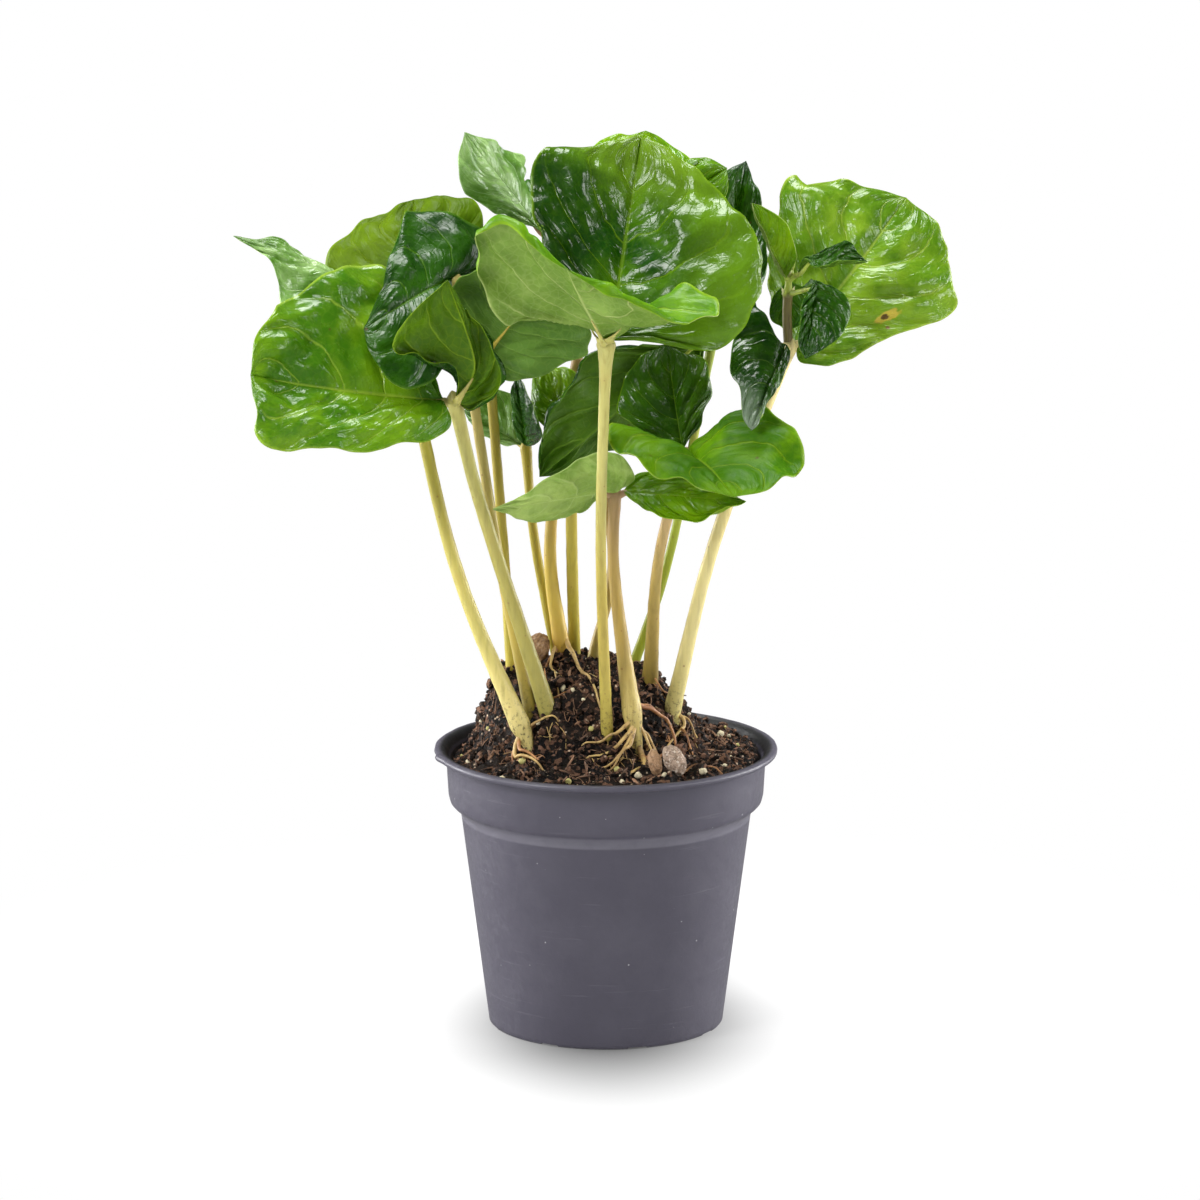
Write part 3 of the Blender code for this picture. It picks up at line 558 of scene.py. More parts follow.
def soilMaterial(name, paler):
    # nearly black peat with rusty grains and a few pale flecks
    look = soilLook
    material, tree, shader = newMaterial(name)
    place = objectPlace(tree)
    patches = noiseOf(tree, place, look["patchScale"], 5.0, 0.65)
    colour = mixColour(tree, ramp(tree, patches, 0.42 - paler, 0.68), look["dark"], look["mid"])
    grain = cellChance(tree, cellsOf(tree, place, look["grainScale"]))
    rusty = ramp(tree, grain, 0.68 - paler, 1.0, 0.0, 0.6 + paler)
    colour = mixColour(tree, rusty, colour, look["rust"])
    flecks = cellsOf(tree, place, look["fleckScale"])
    fleck = product(tree, ramp(tree, cellChance(tree, flecks, 1), 0.93, 0.97),
                    ramp(tree, flecks["Distance"], 0.25, 0.45, 0.8, 0.0))
    colour = mixColour(tree, fleck, colour, look["fleck"])
    fine = noiseOf(tree, place, look["fineScale"], 4.0, 0.7)
    roughness = ramp(tree, fine, 0.35, 0.6, 0.35, look["roughness"])
    surface(tree, shader, colour, roughness, bumpOf(tree, total(tree, fine, patches), 0.9, 0.8))
    shader.inputs["Specular IOR Level"].default_value = look["shine"]
    return material


def makeSoilBody(material):
    sides, rings = soilLook["sides"], soilLook["rings"]
    below = soilLook["below"]
    verts, faces = [(0, 0, soilTop(0, 0))], []
    for i in range(1, rings + 1):
        radius = soilLook["edge"] * i / rings
        for turn in turnsRound(sides):
            x, y = radius * math.cos(turn), radius * math.sin(turn)
            verts.append((x, y, soilTop(x, y)))
    for radius, height in below:
        verts += [(radius * math.cos(turn), radius * math.sin(turn), height) for turn in turnsRound(sides)]
    verts.append((0, 0, below[-1][1]))
    last = rings + len(below) - 1
    for k in range(sides):
        n = (k + 1) % sides
        faces.append((0, 1 + k, 1 + n))
        for i in range(last):
            inner, outer = 1 + i * sides, 1 + (i + 1) * sides
            faces.append((inner + k, outer + k, outer + n, inner + n))
        faces.append((1 + last * sides + n, 1 + last * sides + k, len(verts) - 1))
    addPiece("soilBed", verts, faces, [material], "soil", replaces=("soil",))


def lumpPatterns(count, detail, roughness, seed):
    # rough balls of radius 1, to be placed many times
    patterns = []
    for number in range(count):
        work = bmesh.new()
        bmesh.ops.create_icosphere(work, subdivisions=detail, radius=1.0)
        verts = []
        for vert in work.verts:
            swell = 1 + roughness * wobble(vert.co * 3, 2.4, seed + 11.0 * number)
            swell += 0.5 * roughness * wobble(vert.co * 3, 1.1, seed + 5.0 * number)
            verts.append(vert.co * swell)
        patterns.append((np.array(verts), [tuple(v.index for v in face.verts) for face in work.faces]))
        work.free()
    return patterns


def placedLump(pattern, place, size, stretch=(1, 1, 1), lean=0.5):
    # one of them at its place, at a random turn
    turn = Matrix.Rotation(dice.uniform(0, 2 * math.pi), 3, "Z")
    tilt = Matrix.Rotation(dice.gauss(0, lean), 3, "X") @ Matrix.Rotation(dice.gauss(0, lean), 3, "Y")
    spin = np.array(turn @ tilt)
    verts, faces = pattern
    return verts * np.array(stretch) * size @ spin.T + np.array(place), faces


def soilPlace(reach=52.0):
    # a random place on the soil, more often on the steep sides of the mound
    while True:
        x, y = dice.uniform(-reach, reach), dice.uniform(-reach, reach)
        if math.hypot(x, y) > reach:
            continue
        slope = math.hypot(soilHeight(x + 1, y) - soilHeight(x, y), soilHeight(x, y + 1) - soilHeight(x, y))
        if dice.random() < math.hypot(1, slope) / 2.4:
            return x, y


def makeCrumbs(material):
    small, large = lumpPatterns(8, 1, 0.4, 2.0), lumpPatterns(10, 2, 0.75, 31.0)
    shapes = []
    for patterns, kind in ((small, "grains"), (large, "crumbs"), (large, "clods")):
        count, least, most = soilLook[kind]
        for _ in range(count):
            x, y = soilPlace()
            size = dice.triangular(least, most, least)
            place = (x, y, soilTop(x, y) + size * 0.25)
            stretch = (dice.uniform(0.8, 1.3), dice.uniform(0.7, 1.1), dice.uniform(0.6, 0.95))
            shapes.append(placedLump(dice.choice(patterns), place, size, stretch))
    addPiece("soilCrumbs", *joinShapes(shapes), [material], "soil")


def chipMaterial():
    material, tree, shader = newMaterial("barkAndFibre")
    place = objectPlace(tree)
    tone = noiseOf(tree, place, soilLook["barkScale"], 2.0, 0.5)
    grain = noiseOf(tree, place, soilLook["fineScale"], 4.0, 0.6, 1.5)
    colour = mixColour(tree, ramp(tree, tone, 0.35, 0.65), soilLook["barkDark"], soilLook["barkPale"])
    colour = mixColour(tree, product(tree, grain, 0.5), colour, soilLook["barkGrain"])
    surface(tree, shader, colour, ramp(tree, grain, 0.3, 0.7, 0.6, 0.9), bumpOf(tree, grain, 0.7, 0.4))
    return material


def makeChips(material):
    # splinters of bark, and thin curved fibres that lie between the crumbs
    shapes = []
    patterns = lumpPatterns(6, 2, 0.3, 57.0)
    for _ in range(soilLook["chips"]):
        x, y = soilPlace()
        length = dice.triangular(1.2, 4.4, 1.6)
        stretch = (length, dice.uniform(0.3, 0.7), dice.uniform(0.18, 0.36))
        shapes.append(placedLump(dice.choice(patterns), (x, y, soilTop(x, y) + 0.5), 1.0, stretch, 0.6))
    for _ in range(soilLook["fibres"]):
        x, y = soilPlace(49.0)
        way, curl, length = dice.uniform(0, 2 * math.pi), dice.gauss(0, 0.5), dice.uniform(2, 7)
        points = []
        while len(points) < 5:
            points.append((x, y, soilTop(x, y) + dice.uniform(0.1, 1.6)))
            way += curl
            x, y = x + math.cos(way) * length / 4, y + math.sin(way) * length / 4
            if math.hypot(x, y) > 52:
                break
        if len(points) > 2:
            path = smoothPath(points, 9)
            thick = dice.uniform(0.1, 0.24)
            shapes.append(tubeShape(path, [thick * (1 - 0.06 * i) for i in range(9)], 5))
    addPiece("barkChips", *joinShapes(shapes), [material], "soil")


def beadMaterial(name, colour):
    material, tree, shader = newMaterial(name)
    dirt = noiseOf(tree, objectPlace(tree), beadLook["dirtScale"], 4.0, 0.65)
    shade = tuple(c * beadLook["shade"] for c in colour)
    soiled = mixColour(tree, ramp(tree, dirt, 0.5, 0.75), colour, shade)
    surface(tree, shader, soiled, ramp(tree, dirt, 0.3, 0.7, 0.45, 0.85), bumpOf(tree, dirt, 0.5, 0.3))
    return material


def makeBeads():
    perlite, prills = [], []
    rough, smooth = lumpPatterns(6, 2, 0.34, 83.0), lumpPatterns(4, 2, 0.1, 97.0)
    places = list(beadLook["places"])
    for _ in range(beadLook["stray"]):
        x, y = soilPlace()
        places.append((x, y, dice.uniform(0.9, 1.9), dice.random() < 0.3))
    for x, y, width, isPrill in places:
        size = width * beadLook["share"]
        place = (x, y, soilTop(x, y) + 0.3 * size)
        if isPrill:
            prills.append(placedLump(dice.choice(smooth), place, size / 2))
        else:
            stretch = (dice.uniform(0.9, 1.35), 1.0, dice.uniform(0.7, 1.0))
            perlite.append(placedLump(dice.choice(rough), place, size / 2, stretch))
    addPiece("perlite", *joinShapes(perlite), [beadMaterial("perliteGrain", beadLook["perlite"])], "soil")
    addPiece("fertiliserBeads", *joinShapes(prills), [beadMaterial("beadCoat", beadLook["prill"])], "soil")


makeSoilBody(soilMaterial("dampPeat", 0.0))
makeCrumbs(soilMaterial("looseCrumb", 0.25))
makeChips(chipMaterial())
makeBeads()
print("soil made")


stemLook = dict(
    radius=1.95, plantingDepth=6.0, flareFade=26.0, funnel=0.34, funnelFade=0.16, thinRoot=0.45,
    stalkFoot=1.5, stalkThick=0.8, funnelFoot=7.0,  # where the leaf stalks start, below the top
    sides=28, rings=90, knobs=0.05, roughness=0.42, shine=0.35, glow=0.12, glowReach=(3.0, 2.0, 0.8),
    # the heights over which the tones change and the soil clings
    footTone=(110.0, 150.0), topTone=(155.0, 210.0), soiledFoot=(104.0, 130.0),
    streakScales=(700.0, 700.0, 45.0), streakShade=0.62, patchScale=75.0, patch=(0.38, 0.26, 0.06),
    speckScale=330.0, speck=(0.2, 0.1, 0.04), crumbScale=700.0,
    bud=((0.8, 0.94), (1.6, 0.78), (2.4, 0.56), (3.1, 0.34), (3.7, 0.12)),  # each step up and its share
    tones=dict(  # colour at the foot, along the stem and near the leaves
        cream=((0.58, 0.5, 0.18), (0.52, 0.45, 0.19), (0.55, 0.46, 0.2)),
        butter=((0.44, 0.36, 0.075), (0.36, 0.28, 0.05), (0.42, 0.39, 0.12)),
        lime=((0.58, 0.48, 0.18), (0.44, 0.38, 0.1), (0.36, 0.31, 0.04)),
        olive=((0.28, 0.25, 0.06), (0.32, 0.28, 0.065), (0.36, 0.33, 0.09)),
        moss=((0.38, 0.31, 0.035), (0.4, 0.33, 0.04), (0.37, 0.3, 0.04)),
        green=((0.26, 0.28, 0.02), (0.22, 0.26, 0.014), (0.26, 0.32, 0.04)),
        tan=((0.28, 0.22, 0.04), (0.4, 0.31, 0.065), (0.42, 0.34, 0.1)),
        amber=((0.45, 0.2, 0.03), (0.52, 0.38, 0.06), (0.36, 0.23, 0.1)),
        mauve=((0.5, 0.4, 0.13), (0.32, 0.22, 0.05), (0.27, 0.17, 0.1)),
        rose=((0.2, 0.14, 0.025), (0.34, 0.25, 0.065), (0.5, 0.33, 0.19)),
    ),
)

# Every seedling: where its stem leaves the soil, a place it passes halfway, its top, its thickness
# beside the usual radius, the stem's tone, and its two seed leaves. A leaf is set out by its tip and
# by places along the edge of its left and right halves from base to tip, seen from the base with the
# glossy side up. via is a place on a bent midrib, arch lifts a straight one, cup lifts the middle of
# each half, and ripple is how far the edge waves, how many times, and where the waves start. hem turns
# a margin under between two shares of the length, by so many millimetres. pucker is the strength of the
# small folds. flare and crown thicken the stem at the soil, clear is the gap from its top to a blade,
# and funnel how much it widens below the leaves.
seedlings = (
    dict(foot=(-26.8, -21), waist=(-52.8, -15, 169), top=(-72, -6, 255),
         thick=1.07, flare=0.75, crown=8, tone="lime", leaves=(
        dict(tip=(-129, 6, 279), arch=3, cup=(2, 1), ripple=(1, 3, 0), top="silver", under="pale",
             left=((-83, -12, 249), (-99, -14, 249), (-112, -10, 259), (-115, -3, 271)),
             right=((-85, 3, 255), (-99, 6, 265), (-113, 9, 276))),
        dict(tip=(-67, 34, 287), arch=2, cup=(2, 2), ripple=(1, 3, 1), top="moss", under="pale",
             left=((-84, 12, 260), (-98, 20, 264), (-93, 24, 274), (-79, 31, 283)),
             right=((-60, 10, 259), (-48, 22, 269), (-43, 30, 282), (-53, 35, 288))))),
    dict(foot=(-20.3, -15.8), waist=(-43, -22, 189), top=(-52, -30, 228),
         thick=1.13, flare=0.5, clear=3.6, tone="olive", leaves=(
        dict(tip=(-121, -46, 240), arch=-3, cup=(3, 3), ripple=(1.2, 4, 0), top="clear", under="pale",
             pucker=1.3,
             left=((-54, -38, 220), (-72, -49, 216), (-97, -56, 216), (-117, -56, 219),
                   (-119, -54, 230)),
             right=((-64, -20, 244), (-76, -8, 269), (-91, -16, 271), (-105, -26, 266),
                    (-118, -41, 255))),
        dict(tip=(-54, -46, 273), via=(-45, -33, 242), cup=(0, 3), top="deep", under="leek",
             hem=dict(left=(0.04, 0.75, 8.0)),
             left=((-47, -31, 226), (-40, -30, 237), (-45, -33, 254)),
             right=((-51, -38, 241), (-62, -46, 246), (-72, -53, 251), (-67, -53, 261))))),
    dict(foot=(-26.8, -13.6), waist=(-38.4, -4, 174), top=(-52, -2, 265),
         thick=0.9, flare=0.3, tone="tan", leaves=(
        dict(tip=(-83, -31, 253), arch=2, cup=(2, 2), ripple=(0.8, 4, 0), top="shady", under="pale",
             pucker=0.8,
             left=((-54, -22, 251), (-57, -38, 238), (-68, -42, 235), (-79, -39, 243)),
             right=((-44, 4, 270), (-43, 11, 281), (-67, 12, 287), (-72, 0, 280),
                    (-78, -20, 263))),
        dict(tip=(-24, 28, 274), cup=(2, 2), top="deep", under="pale",
             left=((-45, 16, 270), (-38, 25, 277), (-31, 28, 278)),
             right=((-42, 12, 260), (-30, 20, 263), (-24, 26, 268))))),
    dict(foot=(-33, 6), waist=(-36, 8, 171), top=(-41, 2, 240),
         thick=0.88, flare=0.2, clear=3.2, tone="moss", leaves=(
        dict(tip=(-19, -38, 273), cup=(2, 3), ripple=(0.8, 3, 0), top="deep", under="sage",
             left=((-39, -2, 231), (-23, -10, 233), (-6, -26, 245), (-9, -37, 261)),
             right=((-48, -8, 243), (-53, -22, 265), (-41, -32, 276))),
        dict(tip=(-40, 55, 231), arch=4, cup=(2, 2), ripple=(1, 3, 0), top="fresh", under="pale",
             left=((-54, 12, 240), (-60, 28, 236), (-54, 47, 231)),
             right=((-28, 12, 240), (-20, 28, 235), (-26, 48, 230))))),
    dict(foot=(-17.2, 21.5), waist=(-25, 17, 169), top=(-28, 20, 201),
         thick=0.8, flare=0.3, tone="moss", leaves=(
        dict(tip=(-50, 38, 211), cup=(1, 1), ripple=(0.8, 3, 0), top="silver", under="ghost",
             left=((-36, 23, 202), (-45, 29, 205)),
             right=((-27, 26, 209), (-30, 34, 216), (-41, 39, 218))),
        dict(tip=(-31, 13, 229), cup=(1, 1), top="deep", under="pale",
             left=((-31, 20, 207), (-33, 18, 219)),
             right=((-25, 12, 204), (-22, -4, 212), (-27, 4, 224))))),
    dict(foot=(-15.5, 13), waist=(-19, 12, 178), top=(-3, 14, 273),
         thick=0.95, flare=0.6, crown=5, tone="amber", leaves=(
        dict(tip=(14, 42, 310), cup=(2, 2), ripple=(0.8, 3, 0), top="lime", under="pale",
             left=((-11, 24, 283), (-10, 35, 297), (-2, 41, 306)),
             right=((14, 22, 277), (31, 30, 288), (32, 36, 296), (23, 41, 306))),
        dict(tip=(42, 23, 300), cup=(2, 2), top="fresh", under="pale",
             left=((6, 16, 286), (20, 21, 299), (33, 25, 304)),
             right=((17, 4, 270), (35, 7, 279), (42, 17, 291))))),
    dict(foot=(-11, 22), waist=(-12, 9, 171), top=(-12, 5, 207),
         thick=1.0, flare=0.15, tone="moss", leaves=(
        dict(tip=(-21, 14, 231), cup=(1, 1), top="lime", under="olive",
             left=((-19, 8, 209), (-26, 16, 218), (-26, 17, 227)),
             right=((-7, 4, 213), (-5, 3, 224), (-12, 7, 232))),
        dict(tip=(22, 40, 207), arch=4, cup=(2, 2), top="fresh", under="pale",
             left=((-4, 15, 211), (6, 31, 214), (13, 41, 213)),
             right=((2, 8, 204), (16, 14, 200), (24, 28, 202))))),
    dict(foot=(0.3, -21), waist=(-1.8, -36, 180), top=(0, -44, 250),
         thick=0.93, flare=0.2, funnel=0.85, tone="butter", leaves=(
        dict(tip=(-13, -88, 284), cup=(-4, 1), ripple=(0.8, 4, 0), top="grass", under="bright",
             hem=dict(left=(0.6, 1.0, 4.0), right=(0.45, 1.0, 4.5)),
             pucker=1.1, funnel=(0.16, 0.42),
             left=((12, -42, 259), (28, -50, 271), (38, -62, 268), (30, -77, 264),
                   (11, -86, 273)),
             right=((-12, -52, 262), (-34, -60, 261), (-41, -65, 278), (-40, -72, 296),
                    (-31, -80, 298))),
        dict(tip=(12, -2, 315), arch=-4, cup=(3, 4), ripple=(1, 5, 0), top="leafy", under="pale",
             pucker=1.2,
             left=((-6, -34, 262), (-20, -25, 279), (-26, -18, 299), (-20, -12, 312),
                   (-2, -5, 313)),
             right=((18, -45, 251), (39, -42, 248), (52, -37, 266), (51, -28, 285),
                    (37, -16, 300), (24, -8, 310))))),
    dict(foot=(10.8, -21.5), waist=(3, -17, 162), top=(3, -18, 193),
         thick=0.9, flare=1.0, crown=13, clear=3.4, tone="mauve", leaves=(
        dict(tip=(-39, -30, 190), cup=(-2, -2), ripple=(0.8, 3, 0), top="fresh", under="specked",
             stalk=0.12, pucker=1.6,
             left=((9, -24, 198), (5, -30, 209), (-9, -33, 208), (-24, -33, 198)),
             right=((-5, -13, 188), (-19, -13, 183.5), (-31, -20, 185))),
        dict(tip=(48, -36, 194), cup=(-1, -2), top="lime", under="olive",
             left=((12, -18, 201), (26, -21.5, 199.5), (39, -27, 197)),
             right=((10, -28, 191), (21, -38, 189), (36, -43, 190))))),
    dict(foot=(15.4, 5.5), waist=(18.2, -11, 168), top=(27, -18, 206),
         thick=0.87, flare=0.75, tone="rose", leaves=(
        dict(tip=(43, -70, 202.5), arch=3, cup=(2, 2), ripple=(1, 4, 0), top="meadow", under="pale",
             left=((33, -16, 213), (48, -22, 224), (63, -34, 221), (67, -47, 211),
                   (57, -61, 204)),
             right=((17, -18, 213), (2, -27, 218), (3, -40, 213), (20, -57, 207))),
        dict(tip=(21, 2, 241), cup=(2, 2), ripple=(0.8, 4, 0), top="dusky", under="pale",
             left=((18, -16, 211), (5, -12, 220), (6, -7, 230), (12, -2, 238)),
             right=((32, -15, 217), (36, -9, 227), (34, -2, 237))))),
    dict(foot=(9.5, 15), waist=(22.6, 13, 166), top=(37, 12, 241),
         thick=0.75, flare=0.3, clear=2.8, tone="green", leaves=(
        dict(tip=(49, 38, 300), cup=(2, 2), ripple=(0.8, 4, 0), top="deep", under="pale",
             left=((34, 17, 254), (33, 25, 276), (38, 34, 294)),
             right=((47, 14, 249), (56, 22, 262), (54, 33, 285))),
        dict(tip=(-23, -14, 198), cup=(2, 2), top="deep", under="middle", hem=dict(left=(0.25, 0.97, 4.0)),
             left=((20, 8, 241), (-3, -2, 240), (-14, -9, 226), (-22, -14, 215)),
             right=((31, 6, 220), (22, 7, 201), (0, 2, 204), (-12, -8, 198))))),
    dict(foot=(23, -1), waist=(38, -9, 175), top=(63, -12, 243),
         thick=1.08, flare=0.5, clear=3.4, tone="cream", leaves=(
        dict(tip=(104, 14, 291), via=(87, 0, 270), cup=(3, 3), ripple=(1, 5, 0), top="sunny",
             under="pale", pucker=1.1,
             scars=(((97, -2, 254), (5.5, 40, 2), -28, (0.55, 0.42, 0.05)),
                    ((96, -2, 253.6), (1.7, 40, 1.2), -28, (0.13, 0.05, 0.02)),
                    ((97, -2, 250), (0.9, 40, 0.6), 0, (0.2, 0.09, 0.03))),
             left=((57, 8, 254), (58.5, 12, 277), (61, 17, 292), (66, 19, 298.5),
                   (72, 18, 295.5), (85, 17, 296)),
             right=((68, -13, 237.5), (84, -14, 239), (96, -12, 246), (120, -9, 255),
                    (120, -2, 268), (113, 9, 284))),
        dict(tip=(49.5, -42, 220), cup=(2, 2), ripple=(0.8, 4, 0), top="frosted", under="pale",
             left=((63, -19, 239.5), (56, -33, 228), (52.5, -40, 222)),
             right=((56, -14, 248), (51, -12, 259), (43, -20, 244), (46, -35, 229),
                    (47, -39, 223.5))))),
    dict(foot=(-5, 24), waist=(1.6, 27, 170), top=(-20, 30, 275),
         thick=0.8, flare=0.2, tone="mauve", leaves=(
        dict(tip=(-49, 14, 314), cup=(2, 2), ripple=(0.8, 3, 0), top="silver", under="silver",
             left=((-30, 24, 281), (-43, 14, 289), (-51, 8, 298)),
             right=((-26.5, 34, 286), (-30, 41, 296), (-30, 44, 301), (-39, 28, 308))),
        dict(tip=(-18, 82, 288), arch=3, cup=(2, 2), top="deep", under="pale",
             left=((-30, 47, 282), (-29, 61, 288), (-26, 76, 290)),
             right=((-8, 42, 281), (-1, 60, 286), (-7, 78, 286))))),
)


def stemMaterial(name, tones):
    look = stemLook
    material, tree, shader = newMaterial(name)
    place = objectPlace(tree)
    height = addNode(tree, "SeparateXYZ", {0: place}).outputs[2]
    foot, along, top = tones
    colour = mixColour(tree, spanRamp(tree, height, look["footTone"]), foot, along)
    colour = mixColour(tree, spanRamp(tree, height, look["topTone"]), colour, top)
    # long fine streaks, a few darker patches, and small warm specks
    streak = streaksOf(tree, place, look["streakScales"])
    colour = mixColour(tree, ramp(tree, streak, 0.42, 0.75, 0.0, 0.5), colour,
                       tuple(c * look["streakShade"] for c in along))
    patch = ramp(tree, noiseOf(tree, place, look["patchScale"], 3.0, 0.55), 0.55, 0.75, 0.0, 0.25)
    colour = mixColour(tree, patch, colour, look["patch"])
    specks = cellsOf(tree, place, look["speckScale"])
    speck = product(tree, ramp(tree, specks["Distance"], 0.1, 0.17, 0.55, 0.0),
                    maths(tree, "GREATER_THAN", cellChance(tree, specks), 0.72))
    colour = mixColour(tree, speck, colour, look["speck"])
    # crumbs of soil cling to the foot
    crumbs = ramp(tree, noiseOf(tree, place, look["crumbScale"], 4.0, 0.7), 0.52, 0.62)
    soiled = product(tree, crumbs, spanRamp(tree, height, look["soiledFoot"], 0.75, 0.0))
    colour = mixColour(tree, soiled, colour, soilLook["mid"])
    roughness = ramp(tree, streak, 0.3, 0.8, look["roughness"] - 0.06, look["roughness"] + 0.14)
    relief = total(tree, product(tree, streak, 0.6), soiled)
    surface(tree, shader, colour, roughness, bumpOf(tree, relief, 0.5, 0.3))
    shader.inputs["Specular IOR Level"].default_value = look["shine"]
    shader.inputs["Subsurface Weight"].default_value = look["glow"]
    shader.inputs["Subsurface Radius"].default_value = tuple(reach * mm for reach in look["glowReach"])
    shader.inputs["Subsurface Scale"].default_value = 0.5
    return material


def stemLine(plant, rings):
    look = stemLook
    depth = look["plantingDepth"]
    x, y = plant["foot"]
    foot = np.array((x, y, soilHeight(x, y)), float)
    waist, top = np.array(plant["waist"], float), np.array(plant["top"], float)
    down = unit(foot - waist) * 0.6 + np.array((0, 0, -0.4))
    root = foot + unit(down) * depth
    path = np.vstack([root, smoothPath([foot, waist, top], rings)])
    above = np.concatenate([[0], np.cumsum(np.linalg.norm(np.diff(path, axis=0), axis=1))]) - depth
    # thickest at the crown, thinning into the root below it, and a little thicker under the leaves
    crown = plant.get("crown", 0)
    flare = 1 + plant["flare"] * np.exp(-np.maximum(above - crown, 0) / look["flareFade"])
    if crown:
        flare *= 1 - look["thinRoot"] * np.clip((crown - above) / crown, 0, 1)
    funnel = plant.get("funnel", look["funnel"]) * np.exp(look["funnelFade"] * (above - above[-1]))
    return path, look["radius"] * plant["thick"] * (flare + funnel)


def makeStem(number, plant, material, stalks):
    name = "seedling%02dStem" % number
    path, radii = stemLine(plant, stemLook["rings"])
    # the top closes in a small pointed bud between the two leaves
    way = unit(path[-1] - path[-2])
    path = np.vstack([path, [path[-1] + way * step for step, share in stemLook["bud"]]])
    radii = np.concatenate([radii, radii[-1] * np.array([share for step, share in stemLook["bud"]])])
    shape = joinShapes([tubeShape(path, radii, stemLook["sides"], stemLook["knobs"], 3.0 * number)] + stalks)
    addPiece(name, *shape, [material], "stem", replaces=("seedling_%02d_stem" % number,))


leafLook = dict(
    rows=80, columns=25, thickness=0.36, veins=5, bend=1.5, groove=0.5, quilt=1.5, ladder=1.1,
    rungs=5.5, swell=2.6, cells=0.5, crinkle=2.8, uneven=1.6, stalkHalfWidth=0.9, stalkRows=14,
    ribRaise=0.6, veinRaise=0.22, roughness=0.21, seeThrough=0.3,
    hemTurn=2.9, stalk=0.45, clear=1.6, lift=1.3,
    fullSize=60.0,  # a shorter leaf than this has lower folds
    quiltSize=16.0, swellSize=13.0, cellSize=4.4, crinkleSize=7.5, unevenSize=9.0,
    quiltGap=0.16, grooveWidth=0.05, veinWidth=0.05, ribWidth=0.035,
    # how coarse the patterns of its colour are
    driftScale=110.0, patchScale=48.0, mottleScale=420.0, netScale=330.0, puckerScale=190.0,
    fleckScale=75.0, fleck=(0.09, 0.045, 0.01),
    # how much rougher than the roughness above, and the strength of the shine
    glossy=(0.0, 0.4), under=(0.26, 0.22),
    duller=dict(moss=(0.24, 0.1), meadow=(0.22, 0.14), grass=(0.16, 0.2), shady=(0.07, 0.3)),
    # painted light toward the tip: a lighter green on one tone, and a whitish painted sheen on the other
    paintedTipLight=dict(leafy=(0.21, 0.36, 0.02), frosted=(0.36, 0.44, 0.34)),
    halves=dict(leafy=((0.004, 0.03, 0.001), (0.15, 0.3, 0.01))),  # painted shade for the left half and painted light for the right half
    tops=dict(  # shade between the veins, light parts, and the veins and margin
        deep=((0.007, 0.046, 0.001), (0.03, 0.115, 0.002), (0.12, 0.27, 0.01)),
        dusky=((0.02, 0.075, 0.001), (0.05, 0.13, 0.002), (0.16, 0.3, 0.01)),
        # pale whitish greens in patches: a painted sheen of white reflections over the leaf's green
        silver=((0.07, 0.18, 0.015), (0.3, 0.46, 0.16), (0.5, 0.66, 0.34)),
        fresh=((0.03, 0.125, 0.001), (0.1, 0.24, 0.002), (0.28, 0.42, 0.015)),
        leafy=((0.008, 0.055, 0.001), (0.055, 0.155, 0.001), (0.17, 0.31, 0.006)),
        clear=((0.045, 0.155, 0.003), (0.15, 0.3, 0.006), (0.36, 0.5, 0.05)),
        sunny=((0.075, 0.19, 0.004), (0.22, 0.37, 0.018), (0.42, 0.54, 0.07)),
        lime=((0.09, 0.23, 0.001), (0.21, 0.38, 0.004), (0.36, 0.55, 0.03)),
        moss=((0.065, 0.125, 0.001), (0.11, 0.19, 0.001), (0.19, 0.29, 0.004)),
        meadow=((0.045, 0.155, 0.001), (0.125, 0.275, 0.001), (0.28, 0.42, 0.01)),
        grass=((0.06, 0.19, 0.001), (0.14, 0.31, 0.002), (0.32, 0.5, 0.02)),
        shady=((0.005, 0.04, 0.001), (0.022, 0.095, 0.001), (0.1, 0.24, 0.006)),
        # deep green; its whitish tip is a painted sheen
        frosted=((0.007, 0.046, 0.001), (0.035, 0.115, 0.004), (0.14, 0.28, 0.03)),
    ),
    unders=dict(
        pale=((0.15, 0.28, 0.025), (0.22, 0.37, 0.045), (0.38, 0.5, 0.11)),
        bright=((0.14, 0.24, 0.03), (0.22, 0.33, 0.06), (0.45, 0.52, 0.18)),
        olive=((0.12, 0.235, 0.002), (0.2, 0.33, 0.004), (0.33, 0.46, 0.02)),
        leek=((0.065, 0.16, 0.001), (0.11, 0.23, 0.001), (0.26, 0.4, 0.012)),
        sage=((0.06, 0.14, 0.012), (0.1, 0.21, 0.022), (0.2, 0.34, 0.05)),
        middle=((0.06, 0.14, 0.005), (0.085, 0.19, 0.008), (0.16, 0.3, 0.02)),
        ghost=((0.42, 0.55, 0.24), (0.56, 0.68, 0.36), (0.7, 0.78, 0.5)),
        specked=((0.15, 0.28, 0.03), (0.38, 0.51, 0.13), (0.5, 0.62, 0.22)),
        # pale whitish greens: a painted sheen and painted light over the leaf's green
        silver=((0.2, 0.34, 0.1), (0.34, 0.48, 0.2), (0.5, 0.62, 0.32)),
    ),
)
veinUnits = 12.0  # the blade map holds the vein number over this, so that it stays inside the map


def scarShare(tree, place, centre, size, turn):
    # an oval patch with an uneven edge, 1 in its middle
    mapping = {"Vector": place, "Location": tuple(c * mm for c in centre),
               "Rotation": (0, math.radians(turn), 0), "Scale": tuple(c * mm for c in size)}
    near = addNode(tree, "Mapping", mapping, vector_type="TEXTURE").outputs[0]
    away = addNode(tree, "VectorMath", {0: near}, operation="LENGTH").outputs["Value"]
    ragged = product(tree, maths(tree, "SUBTRACT", noiseOf(tree, near, 1.9, 2.0), 0.5), 0.9)
    return ramp(tree, total(tree, away, ragged), 0.75, 1.0, 1.0, 0.0)


